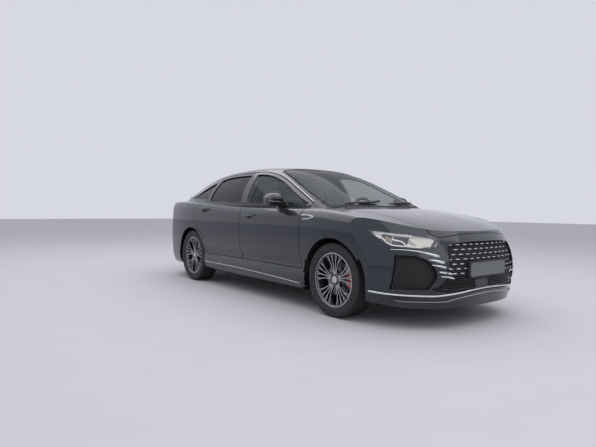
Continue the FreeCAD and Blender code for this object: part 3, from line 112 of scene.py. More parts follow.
class Finish:
    """One material: its node tree, and the methods that add nodes to it and hand back their sockets."""

    def __init__(self, name):
        self.material = bpy.data.materials.new(name)
        self.material.use_nodes = True
        self.tree = self.material.node_tree
        self.tree.nodes.clear()
        self.output = self.tree.nodes.new("ShaderNodeOutputMaterial")

    def node(self, kind, settings=None, sockets=None, out=0):
        """Adds one node: its settings, then a value or a link for each socket, by name or by number."""
        made = self.tree.nodes.new(kind)
        for name, setting in (settings or {}).items():
            setattr(made, name, setting)
        for name, given in (sockets or {}).items():
            socket = made.inputs[name]
            if isinstance(given, Value):
                self.tree.links.new(given.socket, socket)
            else:
                socket.default_value = (*given, 1.0) if socket.type == "RGBA" else given
        return Value(self, made.outputs[out])

    def place(self):
        """The point on the piece, in metres of the car's own frame."""
        return self.node("ShaderNodeTexCoord", out="Object")

    def part_of(self, vector, axis):
        """A vector's x, y or z."""
        return self.node("ShaderNodeSeparateXYZ", None, {0: vector}, axis)

    def noise(self, scale, detail, stretch=(1.0, 1.0, 1.0)):
        """Cloudy noise from 0 to 1 with about scale lumps to the metre."""
        spot = self.node("ShaderNodeMapping", None, {"Vector": self.place(), "Scale": stretch})
        sockets = {"Vector": spot, "Scale": scale, "Detail": detail}
        return self.node("ShaderNodeTexNoise", None, sockets, "Fac")

    def cells(self, scale):
        """Distance from the edges of small irregular cells, about scale of them to the metre."""
        sockets = {"Vector": self.place(), "Scale": scale}
        return self.node("ShaderNodeTexVoronoi", {"feature": "DISTANCE_TO_EDGE"}, sockets, "Distance")

    def mix(self, factor, first, second):
        """A colour between two, by a factor from 0 to 1."""
        return self.node("ShaderNodeMix", {"data_type": "RGBA"}, {"Factor": factor, 6: first, 7: second}, 2)

    def bump(self, height, distance, strength):
        """A normal from a height of 0 to 1 over a depth in metres."""
        sockets = {"Height": height, "Distance": distance, "Strength": strength}
        return self.node("ShaderNodeBump", None, sockets)

    def surface(self, **sockets):
        """Finishes the material with one Principled surface; underscores in the names stand for spaces."""
        named = {name.replace("_", " "): given for name, given in sockets.items()}
        shader = self.node("ShaderNodeBsdfPrincipled", None, named)
        self.tree.links.new(shader.socket, self.output.inputs["Surface"])
        return self.material


def dress(names, material):
    """Gives CAD nodes a finish."""
    for name in names.split():
        data = nodes[name].data
        data.materials.clear()
        data.materials.append(material)


def shade(colour, factor, rise=0.0):
    """A colour made darker or paler by a factor, then raised a little."""
    return tuple(min(1.0, part * factor + rise) for part in colour)


# The studio
# A plain pale floor runs to a pale sky. A large soft ceiling light and a dim front light give paint and glass
# soft bands of light and dark to mirror.
FLOOR_REACH = 40.0
FLOOR_COLOUR = (0.5, 0.5, 0.52)
FLOOR_SPECKLE = (0.54, 0.54, 0.56)
SKY_COLOUR = (0.8, 0.81, 0.9)
SKY_STRENGTH = 0.85


def studio_floor():
    """A square sheet at the floor's height."""
    data = bpy.data.meshes.new("studio_floor")
    signs = ((-1, -1), (1, -1), (1, 1), (-1, 1))
    data.from_pydata([(x * FLOOR_REACH, y * FLOOR_REACH, 0) for x, y in signs], [], [(0, 1, 2, 3)])
    made = bpy.data.objects.new("studio_floor", data)
    scene.collection.objects.link(made)
    finish = Finish("studio_floor")
    speckled = finish.mix(finish.noise(3.0, 3.0), FLOOR_COLOUR, FLOOR_SPECKLE)
    data.materials.append(finish.surface(Base_Color=speckled, Roughness=0.75))


def soft_light(name, place, target, size, watts):
    """A rectangular lamp at a place, turned towards a target."""
    data = bpy.data.lights.new(name, "AREA")
    data.shape = "RECTANGLE"
    data.size, data.size_y = size
    data.energy = watts
    made = bpy.data.objects.new(name, data)
    made.location = place
    made.rotation_euler = (Vector(target) - Vector(place)).to_track_quat("-Z", "Y").to_euler()
    scene.collection.objects.link(made)


studio_floor()
world = bpy.data.worlds.new("studio_world")
world.use_nodes = True
scene.world = world
background = world.node_tree.nodes["Background"]
background.inputs["Color"].default_value = (*SKY_COLOUR, 1.0)
background.inputs["Strength"].default_value = SKY_STRENGTH
soft_light("ceiling_light", (0.0, 0.0, 6.0), (0.0, 0.0, 0.0), (14.0, 11.0), 420.0)
soft_light("front_light", (8.5, -2.0, 4.0), (0.5, 0.0, 0.5), (6.0, 4.0), 70.0)

# Paint
# The panels are steel under a graphite-blue metallic base coat and a clear coat. The doors carry gloss black
# frames above the belt and a dark trim panel on the inside; the roof is lined with pale knitted cloth.
PAINT_BASE = (0.0065, 0.008, 0.0135)
PAINT_FLAKE = (0.019, 0.023, 0.036)
PAINT_METAL = 0.7
PAINT_ROUGHNESS = 0.36
GLOSS_BLACK = (0.006, 0.006, 0.007)
TRIM_DARK = (0.022, 0.021, 0.022)
LINING_PALE = (0.36, 0.34, 0.31)
DOOR_INNER_SIDE = 0.858
BELT_HEIGHT = 1.016
BELT_SLOPE = -0.037
TRIM_TOP = BELT_HEIGHT - 0.03


def metallic(finish):
    """Metallic base coat: fine flakes lighten the colour, and slow clouds shift it a little."""
    sockets = {"Vector": finish.place(), "Scale": 1400.0}
    flakes = finish.node("ShaderNodeTexVoronoi", None, sockets, "Color")
    sparkle = finish.node("ShaderNodeSeparateColor", None, {"Color": flakes})
    return finish.mix(sparkle * 0.7 + finish.noise(1.6, 1.0) * 0.3, PAINT_BASE, PAINT_FLAKE)


def orange_peel(finish):
    """The slight unevenness of a sprayed clear coat."""
    return finish.bump(finish.noise(220.0, 1.0), 0.00012, 0.25)


def door_panel(finish):
    """1 on a door's inner trim panel, 0 on its outer skin and above the trim."""
    across = finish.part_of(finish.place(), 1).math("ABSOLUTE")
    height = finish.part_of(finish.place(), 2)
    inside = across.ramp(DOOR_INNER_SIDE - 0.002, DOOR_INNER_SIDE, 1.0, 0.0)
    return inside * height.ramp(TRIM_TOP, TRIM_TOP + 0.002, 1.0, 0.0)


def facing_down(finish):
    """1 where the surface faces the cabin floor, 0 where it faces the sky."""
    normal = finish.node("ShaderNodeNewGeometry", out="Normal")
    return finish.part_of(normal, 2).ramp(-0.05, 0.05, 1.0, 0.0)


def paint_finish(name, hidden=None, hidden_colour=TRIM_DARK, frames=False):
    """The paint; hidden is a 0 to 1 mask where trim covers it, and frames blacks what lies above the belt."""
    finish = Finish(name)
    colour = metallic(finish)
    metal, coat, rough = PAINT_METAL, 1.0, PAINT_ROUGHNESS
    if frames:
        belt = finish.part_of(finish.place(), 0) * BELT_SLOPE + BELT_HEIGHT
        above = (finish.part_of(finish.place(), 2) - belt).ramp(0.0, 0.002)
        colour = finish.mix(above, colour, GLOSS_BLACK)
        metal = above.ramp(0.0, 1.0, metal, 0.0)
        rough = above.ramp(0.0, 1.0, rough, 0.2)
    if hidden is not None:
        covered = hidden(finish)
        colour = finish.mix(covered, colour, hidden_colour)
        coat = covered * -1.0 + 1.0
        metal = coat * metal
        rough = rough + covered * 0.45 if frames else covered.ramp(0.0, 1.0, rough, 0.8)
    return finish.surface(Base_Color=colour, Metallic=metal, Roughness=rough, Coat_Weight=coat,
                          Coat_Roughness=0.03, Normal=orange_peel(finish))


dress("side_frame_left side_frame_right front_fenders front_bumper rear_bumper hood trunk_lid",
      paint_finish("graphite_paint"))
dress("roof_panel", paint_finish("roof_paint", facing_down, LINING_PALE))
dress("door_front_left door_front_right door_rear_left door_rear_right",
      paint_finish("door_paint", door_panel, TRIM_DARK, True))

# Plain finishes
# Moulded plastic, polished and brushed metal, lacquer and glazing. They serve the smaller pieces of the frame
# and the pieces made further down.


def moulded(name, colour, roughness=0.5, grain=900.0):
    """Moulded plastic: a fine leather-like grain and faint dust in its hollows."""
    finish = Finish(name)
    dust = finish.noise(9.0, 4.0)
    return finish.surface(Base_Color=finish.mix(dust.ramp(0.45, 0.8), colour, shade(colour, 1.5, 0.006)),
                          Roughness=dust.ramp(0.3, 0.8, roughness - 0.06, roughness + 0.08),
                          Normal=finish.bump(finish.cells(grain).ramp(0.0, 0.3), 0.0002, 0.5))


def bright(name, colour, roughness, grain=(1.0, 1.0, 1.0), scale=60.0):
    """Polished or brushed metal: faint smears, stretched along the brushing."""
    finish = Finish(name)
    smears = finish.noise(scale, 3.0, grain)
    return finish.surface(Base_Color=finish.mix(smears, shade(colour, 0.82), colour), Metallic=1.0,
                          Roughness=smears.ramp(0.3, 0.7, roughness * 0.75, roughness * 1.4))


def gloss(name, colour):
    """Hard lacquer in one colour over a faint cloudy ground."""
    finish = Finish(name)
    clouded = finish.mix(finish.noise(5.0, 2.0), colour, shade(colour, 1.25, 0.002))
    return finish.surface(Base_Color=clouded, Roughness=0.18, Coat_Weight=1.0, Coat_Roughness=0.04,
                          Normal=orange_peel(finish))


def glass_finish(name, tint, alpha):
    """Thin glazing: see-through by a fixed share, mirror smooth, with faint wiping marks in its shine."""
    finish = Finish(name)
    marks = finish.noise(14.0, 3.0, (1.0, 0.3, 1.0))
    return finish.surface(Base_Color=tint, Roughness=marks.ramp(0.4, 0.8, 0.015, 0.05), Alpha=alpha, IOR=1.5)


black_plastic = moulded("black_plastic", (0.012, 0.012, 0.013))
matt_black = moulded("matt_black", (0.006, 0.006, 0.006), 0.75, 500.0)
gloss_black = gloss("gloss_black", GLOSS_BLACK)
chrome = bright("chrome", (0.8, 0.81, 0.83), 0.07)
satin_chrome = bright("satin_chrome", (0.62, 0.63, 0.66), 0.2)
brushed_steel = bright("brushed_steel", (0.42, 0.42, 0.43), 0.3, (1.0, 1.0, 12.0), 90.0)

dress("cowl_panel wheel_liners floor_pan front_rails fuel_tank grille", matt_black)
dress("engine_block front_subframe rear_axle knuckle_left knuckle_right door_hinges",
      bright("dark_steel", (0.1, 0.1, 0.11), 0.42, scale=18.0))
dress("exhaust", brushed_steel)
dress("caliper_left caliper_right", gloss("caliper_red", (0.42, 0.012, 0.01)))
dress("dashboard", moulded("dark_trim", TRIM_DARK, 0.6, 1300.0))
dress("windshield window_front_left window_front_right",
      glass_finish("clear_glass", (0.02, 0.035, 0.035), 0.3))
dress("rear_window quarter_windows window_rear_left window_rear_right",
      glass_finish("dark_glass", (0.008, 0.01, 0.013), 0.8))

# Surfaces made here
# Each new piece is one or more grids of points. A grid is a formula of two parameters, or a closed profile
# carried along a path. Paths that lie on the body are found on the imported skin.
SIDES = {"left": 1.0, "right": -1.0}
LEFT, RIGHT, UP = (0.0, 1.0, 0.0), (0.0, -1.0, 0.0), (0.0, 0.0, 1.0)
BEYOND_NOSE, BEYOND_FLANK, ABOVE_ROOF = 3.2, 1.6, 2.0


class Piece:
    """A mesh put together from grids of points, each joined by four-sided faces."""

    def __init__(self, name):
        self.name = name
        self.points, self.faces, self.slots = [], [], []
        self.count = 0

    def grid(self, points, around=False, capped=False, slot=0):
        """Adds rows of points: around closes each row, and capped fills the first and the last."""
        rows, columns = points.shape[:2]
        index = np.arange(rows * columns).reshape(rows, columns) + self.count
        lines = np.hstack([index, index[:, :1]]) if around else index
        corners = [lines[:-1, :-1], lines[:-1, 1:], lines[1:, 1:], lines[1:, :-1]]
        quads = np.stack(corners, axis=-1).reshape(-1, 4).tolist()
        ends = [index[0][::-1].tolist(), index[-1].tolist()] if capped else []
        self.faces += quads + ends
        self.slots += [slot] * (len(quads) + len(ends))
        self.points.append(points.reshape(-1, 3))
        self.count += rows * columns
        return self

    def solid(self, rings, slot=0):
        """Adds a closed body from its rings."""
        return self.grid(rings, around=True, capped=True, slot=slot)

    def bar(self, laid, profile, size=1.0, slot=0):
        """Adds a closed bar; laid is its path with the outward directions along it."""
        return self.solid(swept(*laid, profile, size), slot)

    def finish(self, body, *materials, crease=32.0):
        """Makes the object: smooth, with edges sharper than the crease angle kept, riding on a body."""
        data = bpy.data.meshes.new(self.name)
        data.from_pydata(np.concatenate(self.points).tolist(), [], self.faces)
        data.polygons.foreach_set("material_index", self.slots)
        data.polygons.foreach_set("use_smooth", [True] * len(self.faces))
        shape = bmesh.new()
        shape.from_mesh(data)
        bmesh.ops.recalc_face_normals(shape, faces=shape.faces)
        shape.to_mesh(data)
        shape.free()
        data.set_sharp_from_angle(angle=np.radians(crease))
        for material in materials:
            data.materials.append(material)
        made = bpy.data.objects.new(self.name, data)
        scene.collection.objects.link(made)
        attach(made, body)
        return made


def strip(name, body, laid, profile, *materials, size=1.0):
    """One trim strip: a closed profile along a path, capped at both ends."""
    return Piece(name).bar(laid, profile, size).finish(body, *materials)


def xyz(x, y, z):
    """Points from their x, y and z, each a number or an array."""
    return np.stack(np.broadcast_arrays(x, y, z), axis=-1)


def unit(vectors):
    return vectors / np.linalg.norm(vectors, axis=-1, keepdims=True)


def full_turn(steps):
    return np.linspace(0, 2 * np.pi, steps, endpoint=False)


def smooth_line(points, count):
    """A curve through the points (Catmull-Rom cubics), sampled at evenly spaced parameters."""
    points = np.asarray(points, float)
    padded = np.vstack([2 * points[0] - points[1], points, 2 * points[-1] - points[-2]])
    where = np.linspace(0, len(points) - 1, count)
    k = np.minimum(where.astype(int), len(points) - 2)
    t = (where - k)[:, None]
    a, b, c, d = (padded[k + step] for step in range(4))
    return 0.5 * (2 * b + (c - a) * t + (2 * a - 5 * b + 4 * c - d) * t ** 2
                  + (3 * b - a - 3 * c + d) * t ** 3)


def eased(rows, times=4):
    """Evens out the steps between facets: each inner row becomes the mean of itself and its neighbours."""
    rows = rows.copy()
    for _ in range(times):
        rows[1:-1] = (rows[:-2] + 2 * rows[1:-1] + rows[2:]) / 4
    return rows


def tapered(count, ends, power):
    """Sizes along a bar, 1 in its middle: ends + (1 - ends) * sin(pi * share) ** power."""
    return ends + (1 - ends) * np.sin(np.pi * np.linspace(0, 1, count)) ** power


def rounded(width, height, power=3.0, steps=16):
    """A closed oval profile as (across, outward): |2a/w|^p + |2b/h|^p = 1."""
    c, s = np.cos(full_turn(steps)), np.sin(full_turn(steps))
    across = width / 2 * np.sign(c) * np.abs(c) ** (2 / power)
    outward = height / 2 * np.sign(s) * np.abs(s) ** (2 / power)
    return np.stack([across, outward], axis=1)


def swept(path, outward, profile, size=1.0):
    """A profile along a path: path + size * (a * across + b * outward), across being outward x along."""
    along = unit(np.gradient(path, axis=0))
    outward = unit(outward - (outward * along).sum(1, keepdims=True) * along)
    across = np.cross(outward, along)
    size = np.broadcast_to(np.asarray(size, float), (len(path),))[:, None, None]
    offset = profile[None, :, :1] * across[:, None] + profile[None, :, 1:] * outward[:, None]
    return path[:, None] + size * offset


class Skin:
    """The outer faces of some CAD nodes, found by straight lines towards them."""

    def __init__(self, names):
        points, faces, start = [], [], 0
        for name in names.split():
            mesh = nodes[name].data
            points += [tuple(vertex.co) for vertex in mesh.vertices]
            faces += [[start + corner for corner in face.vertices] for face in mesh.polygons]
            start += len(mesh.vertices)
        self.tree = BVHTree.FromPolygons(points, faces)

    def towards(self, origins, direction):
        """The first points met from some origins along one direction, and the outward normals there."""
        aim = Vector(direction)
        spots, normals = [], []
        for origin in origins.reshape(-1, 3):
            spot, normal, _, _ = self.tree.ray_cast(Vector(origin), aim)
            if spot is None:
                spot, normal, _, _ = self.tree.find_nearest(Vector(origin) + aim * 2.0)
            spots.append(tuple(spot))
            normals.append(tuple(-normal if normal.dot(aim) > 0 else normal))
        return np.array(spots), np.array(normals)

    def from_side(self, x, z, hand):
        return self.towards(xyz(x, BEYOND_FLANK * hand, z), (0.0, -hand, 0.0))

    def from_end(self, y, z, facing=1.0):
        return self.towards(xyz(BEYOND_NOSE * facing, y, z), (-facing, 0.0, 0.0))

    def from_above(self, x, y):
        return self.towards(xyz(x, y, ABOVE_ROOF), (0.0, 0.0, -1.0))


def laid(met, lift):
    """Points met on a skin, evened out and lifted off it, with their normals."""
    spots, normals = met
    normals = eased(normals)
    return eased(spots) + lift * normals, normals


def beside(skin, line, hand, lift, count):
    """A smooth line of (x, z) points laid on the flank of a skin and lifted off it."""
    x, z = smooth_line(line, count).T
    return laid(skin.from_side(x, z, hand), lift)


def across_end(skin, line, lift, count, facing=1.0):
    """A smooth line of (y, z) points laid on the nose of a skin, or on its tail for facing -1."""
    y, z = smooth_line(line, count).T
    return laid(skin.from_end(y, z, facing), lift)


def on_side(points, hand):
    """Points drawn for the right side, carried to either side of the car."""
    return points * np.array([1.0, -hand, 1.0])


flank = Skin("side_frame_left side_frame_right door_front_left door_front_right door_rear_left "
             "door_rear_right front_fenders front_bumper rear_bumper roof_panel trunk_lid hood "
             "window_front_left window_front_right window_rear_left window_rear_right quarter_windows "
             "rear_window windshield")

# Side trim
# A thin bright strip runs along the roof rail above the doors and down to the tail, another along the sill.
# Both are pressed stainless steel, clipped to the body, so that they stay when the doors open.
TRIM_LIFT = 0.001
RAIL_LINE = [(-1.6, 1.088), (-1.4, 1.165), (-1.2, 1.243), (-1.02, 1.322), (-0.9, 1.354), (-0.6, 1.382),
             (-0.22, 1.385), (0.1, 1.368), (0.35, 1.302), (0.59, 1.203), (0.79, 1.11), (0.972, 1.022)]
SILL_LINE = [(-0.93, 0.287), (-0.27, 0.284), (0.43, 0.269), (0.985, 0.247)]

for side, hand in SIDES.items():
    spots, normals = beside(flank, RAIL_LINE, hand, TRIM_LIFT, 110)
    rail = (eased(spots, 14) + TRIM_LIFT * normals, eased(normals, 60))
    strip(f"rail_strip_{side}", "root", rail, rounded(0.0065, 0.006), chrome)
    sill = beside(flank, SILL_LINE, hand, TRIM_LIFT, 60)
    strip(f"sill_strip_{side}", "root", sill, rounded(0.008, 0.006), chrome)

# Belt strips
# A black rubber lip wipes each side window along its foot. It is clipped to the door and swings with it.
# It runs 5 mm below the line where the door's frame begins.
DOOR_REACH = {"front": (-0.115, 0.885), "rear": (-1.02, -0.21)}
BELT_DROP = 0.005

for side, hand in SIDES.items():
    for door, (back, front) in DOOR_REACH.items():
        line = [(x, BELT_HEIGHT + BELT_SLOPE * x - BELT_DROP) for x in np.linspace(front, back, 5)]
        strip(f"belt_lip_{door}_{side}", f"door_{door}_{side}", beside(flank, line, hand, TRIM_LIFT, 40),
              rounded(0.012, 0.008), black_plastic)

# Door handles
# A painted bar with a bright lower edge stands on two feet over a dark dish: painted shade for the pocket
# behind it. It rises to its full height close to each end, and stays level between.
HANDLES = {"rear": ((-1.06, -0.83), 0.942, -0.961), "front": ((-0.045, 0.205), 0.884, 0.089)}
HANDLE_PROFILE = rounded(0.024, 0.012, 3.5)
HANDLE_FOOT, HANDLE_RISE = 0.01, 0.016
DISH_LENGTH, DISH_HEIGHT, DISH_DROP = 0.115, 0.06, 0.012
DISH_RINGS = ((1.0, 0.0004), (0.97, 0.0022), (0.9, 0.0016), (0.55, 0.0009), (0.02, 0.0008))


def dish(x, z, hand):
    """A shallow oval on the flank, as rings that shrink to its middle; the rim stands proud."""
    c, s = np.cos(full_turn(40)), np.sin(full_turn(40))
    rings = []
    for share, lift in DISH_RINGS:
        across, up = DISH_LENGTH / 2 * share * c, DISH_HEIGHT / 2 * share * s
        spots, normals = flank.from_side(x + across, z + up, hand)
        rings.append(spots + lift * normals)
    return np.stack(rings)


painted_trim = paint_finish("trim_paint")
for side, hand in SIDES.items():
    for door, ((back, front), height, middle) in HANDLES.items():
        body = f"door_{door}_{side}"
        line = [(front, height - 0.004), (middle, height), (back, height + 0.003)]
        spots, normals = beside(flank, line, hand, 0.0, 36)
        rise = HANDLE_FOOT + HANDLE_RISE * np.clip(np.sin(np.pi * np.linspace(0, 1, 36)) * 2.2, 0.0, 1.0)
        path = spots + rise[:, None] * normals
        taper = tapered(36, 0.55, 0.4)
        strip(f"handle_{door}_{side}", body, (path, normals), HANDLE_PROFILE, painted_trim, size=taper)
        lower = path - xyz(0.0, 0.0, 0.0115 * taper) + 0.001 * normals
        strip(f"handle_edge_{door}_{side}", body, (lower, normals), rounded(0.0045, 0.009, 2.5), chrome,
              size=taper)
        # The dish's matt black is painted shade that stands for the pocket behind the handle.
        Piece(f"handle_shade_dish_{door}_{side}").grid(
            dish(middle, height - DISH_DROP, hand), around=True).finish(body, matt_black)

# Fender badges
# A generic bright arrow behind each front wheel: two bars that meet in a point, and a dark bar behind them.
# The arrow is fixed to the fender; the dark bar, on the door, is painted shade for a dark mark there.
BADGE_TIP = (1.197, 0.879)
BADGE_ARMS = ([(1.001, 0.894), (1.12, 0.893), BADGE_TIP], [(1.034, 0.858), (1.12, 0.862), BADGE_TIP])
DOOR_SHADE_MARK = [(0.845, 0.877), (0.895, 0.878), (0.94, 0.877)]

for side, hand in SIDES.items():
    badge = Piece(f"fender_badge_{side}")
    for arm in BADGE_ARMS:
        badge.bar(beside(flank, arm, hand, 0.002, 30), rounded(0.012, 0.006, 4.0), np.linspace(0.7, 1.0, 30))
    badge.finish("root", satin_chrome)
    # A gloss black bar on the front door: painted shade standing for a dark mark there.
    strip(f"door_shade_mark_{side}", f"door_front_{side}", beside(flank, DOOR_SHADE_MARK, hand, TRIM_LIFT, 20),
          rounded(0.014, 0.006, 4.0), gloss_black, size=tapered(20, 0.4, 0.5))

# Front lip
# A bright strip follows the foot of the bumper, and a dark blade with a bright edge hangs below it. The blade
# stands further out towards its ends.
LIP_LINE = [(1.861, -0.877, 0.291), (2.011, -0.805, 0.279), (2.169, -0.69, 0.276), (2.284, -0.545, 0.276),
            (2.35, -0.385, 0.291), (2.378, -0.2, 0.308), (2.384, 0.0, 0.314)]
LIP_SETBACK = 0.0042
BLADE_LINE = [(2.01, -0.795, 0.258), (2.067, -0.752, 0.232), (2.2, -0.62, 0.23), (2.3, -0.478, 0.232),
              (2.335, -0.385, 0.25), (2.368, -0.2, 0.27), (2.374, 0.0, 0.277)]
BLADE_STEPS = 140
BLADE_PROUD = 0.012


def across_car(half):
    """A right-hand line continued over the middle to its mirror image, as a smooth path."""
    half = np.asarray(half, float)
    return smooth_line(np.vstack([half, (half * np.array([1.0, -1.0, 1.0]))[-2::-1]]), BLADE_STEPS)


def from_middle(path):
    """Level directions away from the car's middle, for trim that wraps round the nose."""
    return unit(xyz(path[:, 0] - 1.62, path[:, 1] * 1.6, 0.0))


lip_path = across_car(LIP_LINE) - (LIP_SETBACK, 0.0, 0.0)
strip("front_lip", "root", (lip_path, from_middle(lip_path)), rounded(0.016, 0.024, 3.0), chrome)
blade_path = across_car(BLADE_LINE)
blade_out = from_middle(blade_path)
blade_size = tapered(BLADE_STEPS, 0.25, 0.25)
blade_path = blade_path + BLADE_PROUD * np.abs(np.linspace(-1, 1, BLADE_STEPS))[:, None] * blade_out
strip("front_blade", "root", (blade_path + (-0.022, 0.0, 0.01), blade_out), rounded(0.04, 0.06, 4.0),
      black_plastic, size=blade_size)
strip("front_blade_edge", "root", (blade_path + (0.004, 0.0, -0.003), blade_out), rounded(0.007, 0.014, 3.0),
      satin_chrome, size=blade_size)

# Headlamps
# A clear polycarbonate lens stands over a black housing with silvered zones, projectors and a light guide.
# The forms behind it are laid out over it: u runs from the rear tip to the nose, v from the foot up.
LAMP_REACH = (1.829, 2.26)
LAMP_TOP = [(1.822, 0.781), (1.9125, 0.776), (2.0925, 0.761), (2.2295, 0.735), (2.264, 0.69)]
LAMP_LOW = [(1.822, 0.779), (1.9035, 0.724), (2.0085, 0.662), (2.1015, 0.652), (2.1875, 0.647),
            (2.264, 0.66)]
GUIDE = [(0.13, 0.2), (0.24, 0.24), (0.31, 0.09), (0.38, 0.06), (0.48, 0.06), (0.6, 0.07), (0.63, 0.15),
         (0.59, 0.3), (0.54, 0.42), (0.43, 0.48), (0.4, 0.5)]
BROW = [(0.14, 0.72), (0.4, 0.86), (0.66, 0.9)]
PROJECTORS = ((0.305, 0.42, 0.017), (0.355, 0.4, 0.017))
PROJECTOR_DEPTH = 0.026

lens_clear = glass_finish("lamp_clear", (0.92, 0.95, 1.0), 0.1)
silver = bright("lamp_silver", (0.5, 0.48, 0.43), 0.34)
light_guide = gloss("light_guide", (0.86, 0.87, 0.88))
amber_glass = gloss("projector_glass", (0.3, 0.22, 0.1))
dress("headlamps", lens_clear)
lens = Skin("headlamps")


class Net:
    """A net of points over (u, v) in 0..1 with its outward normals; between its points it is bilinear."""

    def __init__(self, spots, outward):
        self.spots = spots
        normals = unit(np.cross(np.gradient(spots, axis=0), np.gradient(spots, axis=1)))
        self.normals = normals * np.sign((normals * np.asarray(outward)).sum(-1, keepdims=True).mean())

    def at(self, u, v, depth):
        """The point at (u, v), moved inwards by the depth, and the normal there."""
        rows, columns = self.spots.shape[:2]
        u, v = np.broadcast_arrays(u * (rows - 1.0), v * (columns - 1.0))
        i = np.clip(u.astype(int), 0, rows - 2)
        j = np.clip(v.astype(int), 0, columns - 2)
        a, b = (u - i)[..., None], (v - j)[..., None]
        spot, normal = (
            (net[i, j] * (1 - a) + net[i + 1, j] * a) * (1 - b)
            + (net[i, j + 1] * (1 - a) + net[i + 1, j + 1] * a) * b
            for net in (self.spots, self.normals))
        return spot - np.asarray(depth)[..., None] * normal, normal


def lamp_net(hand):
    """The lens of one lamp, found by level lines towards it at an even net of (u, v)."""
    u, v = np.meshgrid(np.linspace(0, 1, 65), np.linspace(0.03, 0.97, 17), indexing="ij")
    x = LAMP_REACH[0] + (LAMP_REACH[1] - LAMP_REACH[0]) * u
    low = np.interp(x, *zip(*LAMP_LOW))
    z = low + v * (np.interp(x, *zip(*LAMP_TOP)) - low)
    spots = lens.from_side(x, z, hand)[0]
    return Net(eased(spots.reshape(65, 17, 3), 3), (0.5, hand, 0.2))


def bowl(u, v):
    """Depth of the housing: 4 mm at its rim, 34 mm in its middle, with fine steps."""
    round_rim = (1 - np.abs(2 * u - 1) ** 8) * (1 - np.abs(2 * v - 1) ** 4)
    return 0.004 + 0.03 * round_rim - 0.0012 * np.clip(np.sin(2 * np.pi * 9 * v), 0, 1) * round_rim


def reflector(u, v):
    """Depth of the silvered zone: a hollow with a crease that falls from its rear top to its front foot."""
    crease = np.abs((u - 0.73) * 1.6 - (0.43 - v) * 0.55)
    return 0.01 + 0.012 * (1 - np.abs(2 * v - 1) ** 3) - 0.008 * np.clip(1 - crease * 6, 0, 1) * (v < 0.75)


# Zones of the housing: from and to in u and in v, the depth, how many points in u and in v, and the slot
LAMP_ZONES = (
    (0.05, 0.985, 0.02, 0.98, bowl, 110, 60, 0),
    (0.64, 0.995, 0.03, 0.97, reflector, 60, 40, 1),
    (0.06, 0.66, 0.78, 0.97, lambda u, v: 0.0075 + 0.02 * (0.97 - v), 80, 6, 1),
    (0.05, 0.22, 0.06, 0.97, lambda u, v: 0.009, 20, 16, 1),
    (0.392, 0.408, 0.06, 0.8, lambda u, v: 0.014, 6, 20, 1))


def bead(net, line, depth, count):
    """A smooth line of (u, v) at one depth behind a net, with the normals there."""
    u, v = smooth_line(line, count).T
    return net.at(u, v, depth)


def projector(net, u, v, radius):
    """A lens as rings about its own axis: a bright collar, a step inwards and a domed glass."""
    centre, normal = (found[0] for found in net.at(np.array([u]), v, PROJECTOR_DEPTH))
    axis = unit(normal + np.array([0.9, 0.0, 0.0]))
    across = unit(np.cross(axis, UP))
    turn = full_turn(28)[:, None]
    around = np.cos(turn) * across + np.sin(turn) * np.cross(across, axis)

    def rings(levels):
        return np.stack([centre + radius * share * around + rise * axis for share, rise in levels])

    collar = rings([(1.12, -0.008), (1.12, 0.006), (1.06, 0.009), (1.0, 0.008), (0.96, 0.002)])
    angles = np.linspace(np.pi / 2, 0.02, 8)
    return collar, rings([(0.96 * np.sin(a), 0.002 + 0.45 * radius * np.cos(a)) for a in angles])


for side, hand in SIDES.items():
    net = lamp_net(hand)
    housing = Piece(f"lamp_housing_{side}")
    for u0, u1, v0, v1, depth, rows, columns, slot in LAMP_ZONES:
        u, v = np.meshgrid(np.linspace(u0, u1, rows), np.linspace(v0, v1, columns), indexing="ij")
        housing.grid(net.at(u, v, depth(u, v))[0], slot=slot)
    housing.finish("root", matt_black, silver)
    guide = Piece(f"lamp_guide_{side}")
    guide.bar(bead(net, GUIDE, 0.01, 70), rounded(0.009, 0.006))
    guide.bar(bead(net, BROW, 0.006, 30), rounded(0.004, 0.004))
    guide.finish("root", light_guide)
    lights = Piece(f"lamp_projectors_{side}")
    for u, v, radius in PROJECTORS:
        collar, glass = projector(net, u, v, radius)
        lights.grid(collar, around=True).grid(glass, around=True, slot=1)
    lights.finish("root", satin_chrome, amber_glass)

# Grille
# Rows of short bright dashes in brick order stand before a grey honeycomb; thin slats fill the inlet below.
# All are moulded plastic, the dashes plated, and clipped to a black backing that stands for the bars.
GRILLE_HALF = [(0.3, 0.565), (0.33, 0.56), (0.416, 0.482), (0.57, 0.458), (0.68, 0.436)]
BAR_ROWS = 0.318 + 0.0347 * np.arange(11)
BACKING_DEPTHS = (0.014, 0.018)
DASH_ROWS = np.arange(0.448, 0.682, 0.0375)
DASH_PITCH = 0.08
DASH_HALF = 0.024
DASH_LEAST = 0.018
DASH_PROFILE = rounded(0.0095, 0.01, 2.6, 12)
PLATE_TOP = 0.545
PLATE_HALF = 0.255
COMB_ROWS = np.arange(0.44, 0.686, 0.0135)
COMB_PITCH = 0.027
COMB_SWING = 0.0062
COMB_PROFILE = rounded(0.0035, 0.006, 3.0, 8)
SLAT_ROWS = np.arange(0.325, 0.445, 0.0185)


def grille_half(z):
    """Half the grille's width at a height."""
    return np.interp(z, *zip(*GRILLE_HALF))


grille_skin = Skin("grille")
grille_rows = []
for z in BAR_ROWS:
    across = np.linspace(-grille_half(z), grille_half(z), 61)
    grille_rows.append(eased(grille_skin.from_end(across, z)[0], 6))
grille_face = Net(np.stack(grille_rows, axis=1), (1.0, 0.0, 0.0))


def on_grille(y, z, depth, shift=0.0):
    """Points of the plane before the bars, across the car at a height; shift moves them up in their place."""
    up = (z + shift - BAR_ROWS[0]) / (BAR_ROWS[-1] - BAR_ROWS[0])
    return grille_face.at((y / grille_half(z) + 1) / 2, up, depth)


